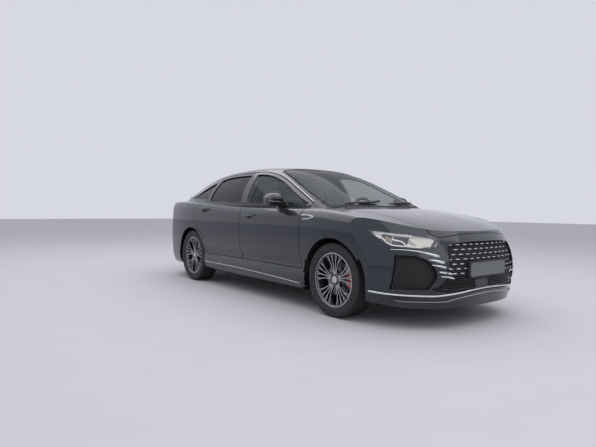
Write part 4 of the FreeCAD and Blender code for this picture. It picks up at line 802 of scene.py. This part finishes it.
across, up = np.meshgrid(np.linspace(-0.004, 1.004, 90), np.linspace(-0.075, 1.088, 60), indexing="ij")
backing = Piece("grille_backing")
for depth in BACKING_DEPTHS:
    backing.grid(grille_face.at(across, up, depth)[0])
backing = backing.finish("root", matt_black)
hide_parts("grille")

dashes = Piece("grille_dashes")
for row, height in enumerate(DASH_ROWS):
    half = grille_half(height) - 0.012
    for middle in np.arange(-6, 7) * DASH_PITCH + (row % 2) * DASH_PITCH / 2:
        start, end = max(middle - DASH_HALF, -half), min(middle + DASH_HALF, half)
        behind_plate = height < PLATE_TOP and abs(middle) < PLATE_HALF
        if end - start > DASH_LEAST and not behind_plate:
            places = np.linspace(start, end, 9)
            dashes.bar(on_grille(places, height, -0.002), DASH_PROFILE, tapered(9, 0.25, 0.5))
dashes.finish("root", chrome)

comb = Piece("grille_honeycomb")
for row, height in enumerate(COMB_ROWS):
    half = grille_half(height) - 0.006
    places = np.linspace(-half, half, 161)
    saw = np.abs(((places / COMB_PITCH + row / 2) % 1.0) * 2 - 1)
    shift = COMB_SWING * (np.clip(saw * 1.8 - 0.4, 0, 1) - 0.5)
    comb.bar(on_grille(places, height, 0.002, shift), COMB_PROFILE)
comb.finish("root", moulded("grille_grey", (0.04, 0.042, 0.046)))

slats = Piece("grille_slats")
for height in SLAT_ROWS:
    half = grille_half(height) - 0.004
    slats.bar(on_grille(np.linspace(-half, half, 81), height, -0.003), rounded(0.005, 0.012, 3.0, 10))
slats.finish("root", gloss_black)

# Number plate and radar cover
# A blank pressed plate sits in a black frame before the grille. The smooth box under it hides the radar.
PLATE_FRONT, PLATE_HEIGHT = 2.3905, 0.473
FRAME_LEVELS = [(0, -0.018), (0, -0.002), (0.002, 0.002), (0.007, 0.002), (0.009, -0.001), (0.066, -0.001)]


def slab(centre, across, up, width, height, levels, power=14.0):
    """A plate as rings of one oval about its centre, each drawn in by an inset and raised by a rise."""
    centre, across, up = (np.asarray(vector, float) for vector in (centre, across, up))
    outward = np.cross(across, up)
    oval = rounded(width, height, power, 72)
    rings = []
    for inset, rise in levels:
        spot = oval * (1 - 2 * inset / width, 1 - 2 * inset / height)
        rings.append(centre + spot[:, :1] * across + spot[:, 1:] * up + rise * outward)
    return np.stack(rings)


def block(centre, across, up, width, height, depth, bevel, power=14.0):
    """A plain slab: back rim, side, bevel and a flat front that runs to its middle."""
    most = min(width, height) / 2
    levels = [(0.0, -depth), (0.0, -bevel), (bevel, 0.0), (most * 0.4, 0.0), (most * 0.98, 0.0)]
    return slab(centre, across, up, width, height, levels, power)


Piece("number_plate").solid(
    slab((PLATE_FRONT - 0.004, 0.0, PLATE_HEIGHT), LEFT, UP, 0.532, 0.136, FRAME_LEVELS)).solid(
    block((PLATE_FRONT - 0.0015, 0.0, PLATE_HEIGHT), LEFT, UP, 0.508, 0.112, 0.004, 0.001), 1).finish(
    "root", black_plastic, gloss("plate_face", (0.055, 0.062, 0.062)))
Piece("radar_cover").solid(
    block((2.377, -0.076, 0.352), LEFT, UP, 0.178, 0.085, 0.03, 0.006, 8.0)).finish(
    "root", moulded("radar_grey", (0.03, 0.032, 0.033), 0.35))

# Bright bars at the bumper's corners
# Five plated bars step down beside the grille, the top one back under the lamp. Ribs stand in the intake.
# Each bar's line is drawn on the left and moved out to the skin where it would sink into it.
BARS = [
    ([(2.016, 0.784, 0.636), (2.105, 0.723, 0.635), (2.186, 0.655, 0.624), (2.253, 0.586, 0.603),
      (2.305, 0.49, 0.574)], 0.022),
    ([(2.245, 0.61, 0.562), (2.275, 0.56, 0.555), (2.318, 0.478, 0.532)], 0.024),
    ([(2.262, 0.596, 0.522), (2.295, 0.53, 0.512), (2.33, 0.452, 0.49)], 0.022),
    ([(2.28, 0.56, 0.47), (2.305, 0.51, 0.464), (2.337, 0.43, 0.447)], 0.02),
    ([(2.292, 0.535, 0.433), (2.315, 0.48, 0.428), (2.34, 0.41, 0.411)], 0.018),
]
BAR_PROFILE = rounded(1.0, 0.55, 2.2, 14)
SWELL_PLACES, TOP_SWELL, LOW_SWELL = (0, 0.55, 0.85, 1), (0.2, 0.45, 1.0, 0.3), (0.18, 0.75, 1.0, 0.35)
INTAKE_FRONT = [(0.32, 2.238), (0.41, 2.284), (0.464, 2.282), (0.527, 2.257), (0.568, 2.216), (0.59, 2.15)]
INTAKE_REAR = [(0.318, 2.016), (0.435, 2.041), (0.592, 2.046)]
RIB_ROWS = (0.37, 0.42, 0.47, 0.52, 0.57)

corner = Skin("front_bumper grille headlamps")
for side, hand in SIDES.items():
    bars = Piece(f"corner_bars_{side}")
    for number, (line, height) in enumerate(BARS):
        path = on_side(smooth_line(np.array(line) * (1.0, -1.0, 1.0), 40), hand)
        outward = unit(xyz(path[:, 0] - 1.75, path[:, 1], 0.0))
        spots, _ = corner.towards(path + 0.4 * outward, -outward.mean(axis=0))
        nearer = ((spots - path) * outward).sum(axis=1).clip(0.0, 0.03)
        path = path + eased(nearer[:, None], 6) * outward
        swell = np.interp(np.linspace(0, 1, 40), SWELL_PLACES, LOW_SWELL if number else TOP_SWELL)
        bars.bar((path + 0.004 * outward, outward), BAR_PROFILE, swell * height)
    bars.finish("root", chrome)
    heights = np.linspace(0.326, 0.586, 26)
    rear = np.interp(heights, *zip(*INTAKE_REAR))
    front = np.interp(heights, *zip(*INTAKE_FRONT))
    along = rear + np.linspace(0, 1, 34)[:, None] * (front - rear)
    floor_spots, floor_normals = corner.from_side(along, heights, hand)
    lining = (floor_spots + 0.0015 * floor_normals).reshape(34, 26, 3)
    Piece(f"intake_lining_{side}").grid(lining).finish("root", matt_black)
    ribs = Piece(f"intake_ribs_{side}")
    for height in RIB_ROWS:
        line = [(2.06, -0.775, height), (2.15, -0.705, height), (2.235, -0.6, height)]
        path = on_side(smooth_line(line, 24), hand)
        inward = unit(xyz(-0.4, -np.sign(path[:, 1]), 0.0))
        ribs.bar((path + 0.03 * inward, -inward), rounded(0.005, 0.02, 4.0, 10))
    ribs.finish("root", black_plastic)

# Wheels
# Cast alloy rims with five fans of four thin spokes that fork at the rim: black castings with bright turned
# faces. A vented steel disc, five nuts and a domed cap sit at the hub. Sections are lists of (out, radius).
WHEELS = {"front_left": (1.4385, 1.0), "front_right": (1.4385, -1.0), "rear_left": (-1.3315, 1.0),
          "rear_right": (-1.3315, -1.0)}
WHEEL_PLANE = 0.7925
AXLE_HEIGHT = 0.33
FANS = 5
FAN_SPREAD = (-22.5, -7.5, 7.5, 22.5)
HUB_SPREAD = (-14.0, -4.7, 4.7, 14.0)
FORK = 3.1
RIM_SECTION = [(0.0985, 0.2395), (0.0995, 0.237), (0.099, 0.2335), (0.0955, 0.23), (0.09, 0.224),
               (0.082, 0.2185), (0.05, 0.213), (0.01, 0.208), (-0.04, 0.212), (-0.085, 0.224),
               (-0.0985, 0.238)]
HAT_SECTION = [(0.044, 0.03), (0.044, 0.076), (0.04, 0.0795), (0.02, 0.08), (0.019, 0.086),
               (0.019, 0.153), (0.018, 0.1545), (0.011, 0.1548), (0.0105, 0.148), (0.0035, 0.148),
               (0.003, 0.1548), (-0.004, 0.1545), (-0.005, 0.153), (-0.005, 0.085)]
HUB_SECTION = [(0.044, 0.074), (0.07, 0.074), (0.074, 0.0715), (0.0745, 0.064), (0.07, 0.061),
               (0.069, 0.04), (0.072, 0.037), (0.074, 0.032)]
CAP_SECTION = [(0.074, 0.032), (0.079, 0.031), (0.08, 0.029), (0.0785, 0.0278), (0.08, 0.0265),
               (0.0815, 0.018), (0.0822, 0.009), (0.0824, 0.0004)]
SPOKE_FACE = [(0.058, 0.0755), (0.1, 0.079), (0.15, 0.083), (0.19, 0.0868), (0.2255, 0.0905)]
SPOKE_OVAL = rounded(1.0, 1.0, 5.0, 12)
SPOKE_STEPS = 14
NUT_CIRCLE = 0.0535
NUT_RADIUS = 0.0095
NUT_LEVELS = ((1.0, 0.046), (1.0, 0.064), (0.86, 0.0675), (0.5, 0.069), (0.03, 0.0695))

wheel_black = gloss("wheel_black", (0.018, 0.019, 0.021))
turned_face = bright("alloy", (0.66, 0.67, 0.69), 0.18, scale=45.0)
disc_steel = bright("disc_steel", (0.36, 0.36, 0.37), 0.28, (1.0, 14.0, 1.0), 40.0)


def at_wheel(points, name):
    """Points drawn about a wheel's centre (x forward, y outward, z up), carried to its place."""
    along, hand = WHEELS[name]
    return points * (1.0, hand, 1.0) + (along, hand * WHEEL_PLANE, AXLE_HEIGHT)


def turned_on_axle(section, steps):
    """A surface of revolution: the section turned about the axle."""
    out, radius = np.array(section).T[:, :, None]
    return xyz(radius * np.cos(full_turn(steps)), out, radius * np.sin(full_turn(steps)))


def polar_bar(radii, angles, drop, width, height):
    """A bar of changing width across the wheel's face, by radius and angle in degrees, dropped below it."""
    share = np.linspace(0, 1, SPOKE_STEPS)
    radius = radii[0] + (radii[1] - radii[0]) * share
    angle = np.radians(angles[0] + (angles[1] - angles[0]) * share)
    out = np.interp(radius, *zip(*SPOKE_FACE)) - drop - height / 2
    path = xyz(radius * np.cos(angle), out, radius * np.sin(angle))
    across = np.cross(LEFT, unit(np.gradient(path, axis=0)))
    wide = np.interp(share, np.linspace(0, 1, len(width)), width)[:, None, None]
    sideways = wide * SPOKE_OVAL[None, :, :1] * across[:, None]
    return path[:, None] + sideways + height * SPOKE_OVAL[None, :, 1:] * np.array(LEFT)


def spoke(inner, outer):
    """One forked spoke: the black casting and the bright face of its stem and of its two prongs."""
    stem_end = inner + (outer - inner) * 0.66
    runs = [((0.056, 0.172), (inner, stem_end), (0.013, 0.009, 0.0085))]
    for lean in (-FORK, FORK):
        runs.append(((0.165, 0.2245), (stem_end, outer + lean), (0.0078, 0.0068, 0.0085)))
    for radii, angles, width in runs:
        yield polar_bar(radii, angles, 0.0012, width, 0.024), True, 0
        yield polar_bar(radii, angles, 0.0, np.array(width) * 0.58, 0.003), True, 1


def hex_nut(angle):
    """A domed six-sided nut on the nut circle, as rings."""
    turn = full_turn(12)
    reach = NUT_RADIUS * (1 - 0.07 * (1 - np.cos(6 * turn)) / 2)
    return np.stack([
        xyz(NUT_CIRCLE * np.cos(angle) + share * reach * np.cos(turn), out,
            NUT_CIRCLE * np.sin(angle) + share * reach * np.sin(turn))
        for share, out in NUT_LEVELS])


# Each surface of the wheel: its points, whether its ends are capped, and the slot of its finish
rim_surfaces = [
    (turned_on_axle(section, steps), False, slot)
    for section, steps, slot in (
        (RIM_SECTION[:3], 160, 1), (RIM_SECTION[2:5], 160, 0), (RIM_SECTION[4:], 160, 0),
        (HUB_SECTION, 120, 0), (CAP_SECTION, 120, 3), (HAT_SECTION, 120, 2))]
for fan in range(FANS):
    middle = 90.0 + 360.0 / FANS * fan
    for inner, outer in zip(HUB_SPREAD, FAN_SPREAD):
        rim_surfaces += spoke(middle + inner, middle + outer)
    rim_surfaces.append((hex_nut(np.radians(middle + 36.0)), False, 3))
for name in WHEELS:
    body = f"wheel_{name}"
    rim = Piece(f"rim_{name}")
    for points, capped, slot in rim_surfaces:
        rim.grid(at_wheel(points, name), around=True, capped=capped, slot=slot)
    made = rim.finish(body, wheel_black, turned_face, disc_steel, satin_chrome)
    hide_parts(body)

# Tyres
# Low road tyres of black rubber: four grooves run round the tread and slanted cuts part its ribs. A rim guard
# stands out at the foot of each side wall.
TYRE_RADIUS = 0.33
TREAD_HALF = 0.0905
GROOVES = (-0.06, -0.021, 0.021, 0.06)
GROOVE_DEPTH, CUT_DEPTH = 0.0068, 0.0036
BLOCKS = 66
SIDE_SECTION = [(0.086, 0.238), (0.096, 0.2402), (0.1, 0.243), (0.104, 0.246), (0.106, 0.25),
                (0.1052, 0.254), (0.1095, 0.264), (0.112, 0.277), (0.1122, 0.29), (0.1112, 0.302),
                (0.1085, 0.313), (0.103, 0.322), (0.0965, 0.3275)]


def tyre_points():
    """Section by angle: radius - crown - groove depth - cut depth, the cuts slanting with the angle."""
    angle = full_turn(BLOCKS * 4)
    tread = np.linspace(-TREAD_HALF, TREAD_HALF, 83)
    side = smooth_line(SIDE_SECTION, 26)
    crown = np.stack([tread, TYRE_RADIUS - 0.0018 * (tread / TREAD_HALF) ** 4], axis=1)
    section = np.vstack([side * (-1.0, 1.0), crown, side[::-1]])
    out, radius = section[:, :1], section[:, 1:]
    groove = np.clip(sum(np.clip(1.6 - np.abs(out - place) / 0.0028, 0, 1) for place in GROOVES), 0, 1)
    on_tread = (np.abs(out) <= 0.0975) & (radius > 0.32)
    slant = BLOCKS * angle[None, :] / (2 * np.pi) + np.sign(out) * out ** 2 * 95.0
    cut = np.clip(1.5 - np.abs((slant % 1.0) - 0.5) / 0.09, 0, 1) * (1 - groove)
    shoulder = np.where(np.abs(out) > 0.064, 1.0, 0.45)
    reach = radius - on_tread * (GROOVE_DEPTH * groove + CUT_DEPTH * cut * shoulder)
    return xyz(reach * np.cos(angle), out, reach * np.sin(angle))


rubber = Finish("tyre")
wear = rubber.noise(60.0, 4.0)
tyre_rubber = rubber.surface(
    Base_Color=rubber.mix(wear.ramp(0.35, 0.75), (0.01, 0.01, 0.011), (0.022, 0.022, 0.023)),
    Roughness=wear.ramp(0.2, 0.8, 0.55, 0.75), Normal=rubber.bump(rubber.noise(900.0, 2.0), 0.0003, 0.6))
tyre_shape = tyre_points()
for name in WHEELS:
    tread = Piece(f"tread_{name}").grid(at_wheel(tyre_shape, name), around=True)
    made = tread.finish(f"wheel_{name}", tyre_rubber)
    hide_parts(f"tyre_{name}")

# Seats
# Foam pads under pale leather: crowned cushions and backs with raised bolsters and sewn channels, and head
# rests on two rods. Each pad is a rounded box: |x|^p + |y|^p + |z|^p = 1, with seams pressed into its top.
LEATHER = (0.44, 0.4, 0.34)
FRONT_ACROSS = 0.37
REAR_ACROSS = (-0.36, 0.0, 0.36)


def leather(name, colour):
    """Fine pored hide: cell edges for the pores, slow clouds for wear."""
    finish = Finish(name)
    wear = finish.noise(7.0, 3.0)
    return finish.surface(Base_Color=finish.mix(wear, shade(colour, 0.78), colour),
                          Roughness=wear.ramp(0.3, 0.7, 0.42, 0.55),
                          Normal=finish.bump(finish.cells(420.0).ramp(0.0, 0.25), 0.0004, 0.6))


def pad(centre, half, lean=0.0, seams=(), bolsters=0.0, channels=(), power=5.0, sag=0.0):
    """A rounded box turned back by lean degrees about y; its +z side carries bolsters, seams and channels."""
    turn = full_turn(120)[None, :]
    rise = np.linspace(-np.pi / 2 + 0.02, np.pi / 2 - 0.02, 72)[:, None]

    def bent(value, exponent):
        return np.sign(value) * np.abs(value) ** exponent

    x = bent(np.cos(rise), 0.55) * bent(np.cos(turn), 2 / power)
    y = bent(np.cos(rise), 0.55) * bent(np.sin(turn), 2 / power)
    z = bent(np.sin(rise), 0.55)
    lift = bolsters * np.clip((np.abs(y) - 0.58) / 0.22, 0, 1) - sag * (1 - np.clip(np.abs(y), 0, 1) ** 2)
    for place in seams:
        lift = lift - 0.009 * np.exp(-((np.abs(y) - place) / 0.035) ** 2)
    for place in channels:
        lift = lift - 0.006 * np.exp(-((x - place) / 0.03) ** 2) * (np.abs(y) < 0.58)
    crown = 0.012 * (1 - x ** 2) * (1 - y ** 2)
    along, up = x * half[0], z * half[2] + np.clip(z, 0, 1) ** 2 * (lift + crown)
    c, s = np.cos(np.radians(lean)), np.sin(np.radians(lean))
    return xyz(along * c - up * s, y * half[1], along * s + up * c) + centre


seat_leather = leather("seat_leather", LEATHER)


def stuffed(name, *shape, **more):
    """One foam pad under leather, shaped as pad says."""
    made = Piece(name).solid(pad(*shape, **more)).finish("root", seat_leather, crease=60)
    return made


for side, hand in reversed(SIDES.items()):
    across = hand * FRONT_ACROSS
    cushion = stuffed(f"front_cushion_{side}", (0.02, across, 0.41), (0.262, 0.255, 0.085), 4.0, (0.58,),
                      0.03, (-0.45, -0.1, 0.25, 0.6), sag=0.01)
    if side == "right":
        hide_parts("front_seats")
    stuffed(f"front_back_{side}", (-0.262, across, 0.72), (0.335, 0.25, 0.06), -278.5, (0.58,), 0.032,
            (-0.6, -0.3, 0.0, 0.3, 0.6), sag=0.008)
    stuffed(f"front_head_rest_{side}", (-0.3, across, 1.122), (0.07, 0.13, 0.04), -278.5, power=4.0)
    base = Piece(f"front_seat_base_{side}")
    base.solid(pad((0.02, across, 0.305), (0.245, 0.235, 0.07)))
    for track in (-0.19, 0.19):
        path = xyz(np.linspace(-0.26, 0.28, 12), across + track, 0.232)
        base.bar((path, np.array(UP)), rounded(0.045, 0.022, 6.0))
    for post in (-0.055, 0.055):
        path = xyz(np.linspace(-0.3, -0.303, 6), across + post, np.linspace(1.02, 1.1, 6))
        base.bar((path, np.array([1.0, 0.0, 0.0])), rounded(0.01, 0.01, 2.0), slot=1)
    base.finish("root", black_plastic, satin_chrome)
bench = stuffed("rear_cushion", (-0.95, 0.0, 0.47), (0.262, 0.615, 0.082), 5.0, (0.1, 0.8), 0.0,
                (-0.4, 0.0, 0.4), 6.0)
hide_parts("rear_seat")
stuffed("rear_back", (-1.19, 0.0, 0.765), (0.275, 0.6, 0.055), -286.0, (0.1, 0.8), 0.0,
        (-0.5, 0.0, 0.5), 6.0)
for number, across in enumerate(REAR_ACROSS, 2):
    stuffed(f"rear_head_rest_{number}", (-1.262, across, 1.062), (0.062, 0.12, 0.036), -284.0, power=4.0)

# Steering wheel, screens and inner mirror
# The rim is wrapped in dark leather with a bright ring on its hub. Two glossy screens stand on the dashboard,
# and the mirror hangs from the windshield.
COLUMN = unit(np.array([0.906, 0.0, -0.423]))
WHEEL_CENTRE = np.array([0.48, 0.37, 0.915])
HUB_RING_RADIUS = 0.036
SCREEN_UP = (0.12, 0.0, 0.99)

dress("steering_wheel", leather("steering_leather", (0.022, 0.021, 0.02)))
turn = np.linspace(0, 2 * np.pi, 41)[:, None]
spokewise = np.cos(turn) * LEFT - np.sin(turn) * np.cross(COLUMN, LEFT)
ring_path = WHEEL_CENTRE - 0.012 * COLUMN + HUB_RING_RADIUS * spokewise
Piece("hub_ring").grid(swept(ring_path, -COLUMN, rounded(0.004, 0.005)), around=True).finish(
    "steering_wheel", satin_chrome)
Piece("screens").solid(
    block((0.612, 0.37, 0.972), RIGHT, SCREEN_UP, 0.3, 0.115, 0.016, 0.003, 9.0)).solid(
    block((0.6, 0.0, 0.925), RIGHT, SCREEN_UP, 0.3, 0.15, 0.018, 0.003, 9.0)).finish(
    "root", gloss("screen_glass", (0.004, 0.005, 0.007)))
Piece("inner_mirror").solid(
    block((0.265, 0.0, 1.285), RIGHT, (0.1, 0.0, 0.995), 0.235, 0.062, 0.028, 0.005, 5.0)).finish(
    "root", black_plastic)

# Rear lamps
# Red lenses with three strips along each, and one strip across the lid between them. A blank plate sits in
# the bumper over a bright line, with a red reflector at each corner.
TAIL_LIFT = 0.0005
LIGHT_PROFILE = rounded(0.007, 0.006)
LID_STRIP = [(-0.575, 0.888), (0.0, 0.889), (0.575, 0.888)]
REFLECTOR = [(0.5, 0.385), (0.6, 0.387), (0.69, 0.39)]
DIFFUSER = [(0.02, 0.318), (0.35, 0.318), (0.62, 0.345)]
PLATE_LEVELS = [(0.0, -0.03), (0.0, -0.001), (0.001, 0.0), (0.003, 0.0), (0.004, -0.001), (0.058, -0.001)]

strip_red = gloss("strip_red", (0.52, 0.012, 0.014))
dress("tail_lamps lid_lamp", gloss("lamp_red", (0.17, 0.006, 0.008)))
tail = Skin("tail_lamps lid_lamp trunk_lid rear_bumper side_frame_left side_frame_right")


def tail_strip(name, body, line, material, profile, count):
    """A strip laid on the tail along (y, z) points."""
    strip(name, body, across_end(tail, line, TAIL_LIFT, count, -1.0), profile, material)


tail_strip("lid_light_strip", "trunk_lid", LID_STRIP, strip_red, LIGHT_PROFILE, 90)
for side, hand in SIDES.items():
    mirrored = np.array([hand, 1.0])
    for number, height in enumerate((0.9, 0.868, 0.836)):
        line = [(0.622, height), (0.7, height - 0.002), (0.765, height - 0.006)] * mirrored
        tail_strip(f"tail_light_strip_{number}_{side}", "root", line, strip_red, LIGHT_PROFILE, 24)
    tail_strip(f"rear_reflector_{side}", "root", REFLECTOR * mirrored, strip_red,
               rounded(0.02, 0.006, 4.0), 30)
    tail_strip(f"diffuser_edge_{side}", "root", DIFFUSER * mirrored, chrome, rounded(0.008, 0.006), 50)
met = tail.from_end((0.0, 0.26, 0.26), (0.62, 0.67, 0.57), -1.0)[0]
plate_back = max(met[:, 0].min() - 0.004, cad_box[0][0] + 0.003)
Piece("rear_plate").solid(
    slab((plate_back, 0.0, 0.62), RIGHT, UP, 0.52, 0.12, PLATE_LEVELS)).finish(
    "root", gloss("rear_plate_face", (0.105, 0.12, 0.125)))

# Mirrors
# Gloss black shells with a bright rib round the front and a looking glass set in the back.
# They ride on the doors.
MIRROR_LEVELS = [(0.0, 0.0), (0.0, 0.0012), (0.002, 0.0018), (0.004, 0.001), (0.045, 0.001)]

dress("mirror_left mirror_right", gloss_black)
for side, hand in SIDES.items():
    line = [(hand * 0.885, 1.022), (hand * 0.96, 1.024), (hand * 1.045, 1.03)]
    strip(f"mirror_rib_{side}", f"door_front_{side}", across_end(Skin(f"mirror_{side}"), line, 0.0005, 30),
          rounded(0.0035, 0.003), satin_chrome)
    Piece(f"mirror_glass_{side}").solid(
        slab((0.5838, hand * 0.975, 1.045), RIGHT, UP, 0.15, 0.092, MIRROR_LEVELS, 3.4)).finish(
        f"door_front_{side}", bright(f"mirror_glass_{side}", (0.7, 0.73, 0.76), 0.03))

# Wipers and windshield border
# Two black arms park along the foot of the windshield, each with a rubber blade. A dark band is baked round
# the glass. Their lines are (x, y) points dropped on to it.
WIPERS = (((1.195, 0.1), (1.162, 0.32), (1.085, 0.575)), ((1.165, -0.5), (1.17, -0.2), (1.13, 0.03)))
BORDER = [(1.232, 0.0), (1.217, 0.32), (1.166, 0.575), (1.1, 0.652), (0.8, 0.645), (0.48, 0.585),
          (0.205, 0.525), (0.175, 0.33), (0.155, 0.0)]

shield = Skin("windshield")


def on_shield(line, lift, count):
    """A smooth line laid on the windshield, with its normals."""
    x, y = smooth_line(line, count).T
    return laid(shield.from_above(x, y), lift)


for number, (root, middle, tip) in enumerate(WIPERS):
    arm = Piece(f"wiper_{number}")
    arm.bar(on_shield([root, middle, tip], 0.016, 40), rounded(0.016, 0.009, 4.0), np.linspace(1.0, 0.65, 40))
    blade = [(root[0] - 0.012, root[1] + 0.02), middle, tip]
    arm.bar(on_shield(blade, 0.005, 40), rounded(0.006, 0.009, 3.0), slot=1)
    arm.finish("root", black_plastic, matt_black)
for side, hand in SIDES.items():
    path, normals = on_shield([(x, hand * y) for x, y in BORDER], 0.0011, 160)
    strip(f"glass_border_{side}", "root", (eased(path, 12), normals), rounded(0.026, 0.0012, 4.0), matt_black)

# Exhaust tips, fuel flap and aerial fin
# Two oval bright tips show under the bumper, and the flap's seam lies in the right quarter. A painted fin on
# the roof holds the aerial.
TIP_OUTSIDE, TIP_INSIDE = rounded(0.11, 0.056, 3.0, 36), rounded(0.102, 0.048, 3.0, 36)
FLAP_CENTRE, FLAP_HALF = (-1.62, 0.86), (0.08, 0.072)
FIN_FRONT, FIN_LENGTH, FIN_HEIGHT = -0.86, 0.155, 0.046

for side, hand in reversed(SIDES.items()):
    path = xyz(np.linspace(-2.3, -2.215, 8), hand * 0.48, 0.262)
    outside, inside = (swept(path, np.array(UP), oval) for oval in (TIP_OUTSIDE, TIP_INSIDE))
    tip = Piece(f"exhaust_tip_{side}")
    for surface in (outside, inside, np.stack([outside[0], inside[0]])):
        tip.grid(surface, around=True)
    tip.finish("root", brushed_steel)
turn = np.linspace(0, 2 * np.pi, 60)[::3]
flap = np.stack([np.cos(turn), np.sin(turn)], axis=1) * FLAP_HALF + FLAP_CENTRE
strip("fuel_flap_seam", "root", beside(flank, flap, SIDES["right"], -0.0004, 80), rounded(0.0025, 0.0016),
      matt_black)
roof = Skin("roof_panel rear_window")
arc = np.linspace(-np.pi / 2, np.pi / 2, 17)
fin_rows = []
for share in np.linspace(0, 1, 18):
    back = FIN_FRONT - FIN_LENGTH * share
    foot = roof.from_above(back, 0.0)[0][0, 2]
    tall = 0.001 + FIN_HEIGHT * share ** 1.3 * (1 - share ** 8)
    width = 0.003 + 0.019 * np.sin(np.pi * share ** 0.8) ** 0.6
    fin_rows.append(xyz(back, width * np.sin(arc), foot - 0.002 + tall * np.cos(arc) ** 0.8))
Piece("aerial_fin").grid(np.stack(fin_rows)).finish("root", painted_trim)
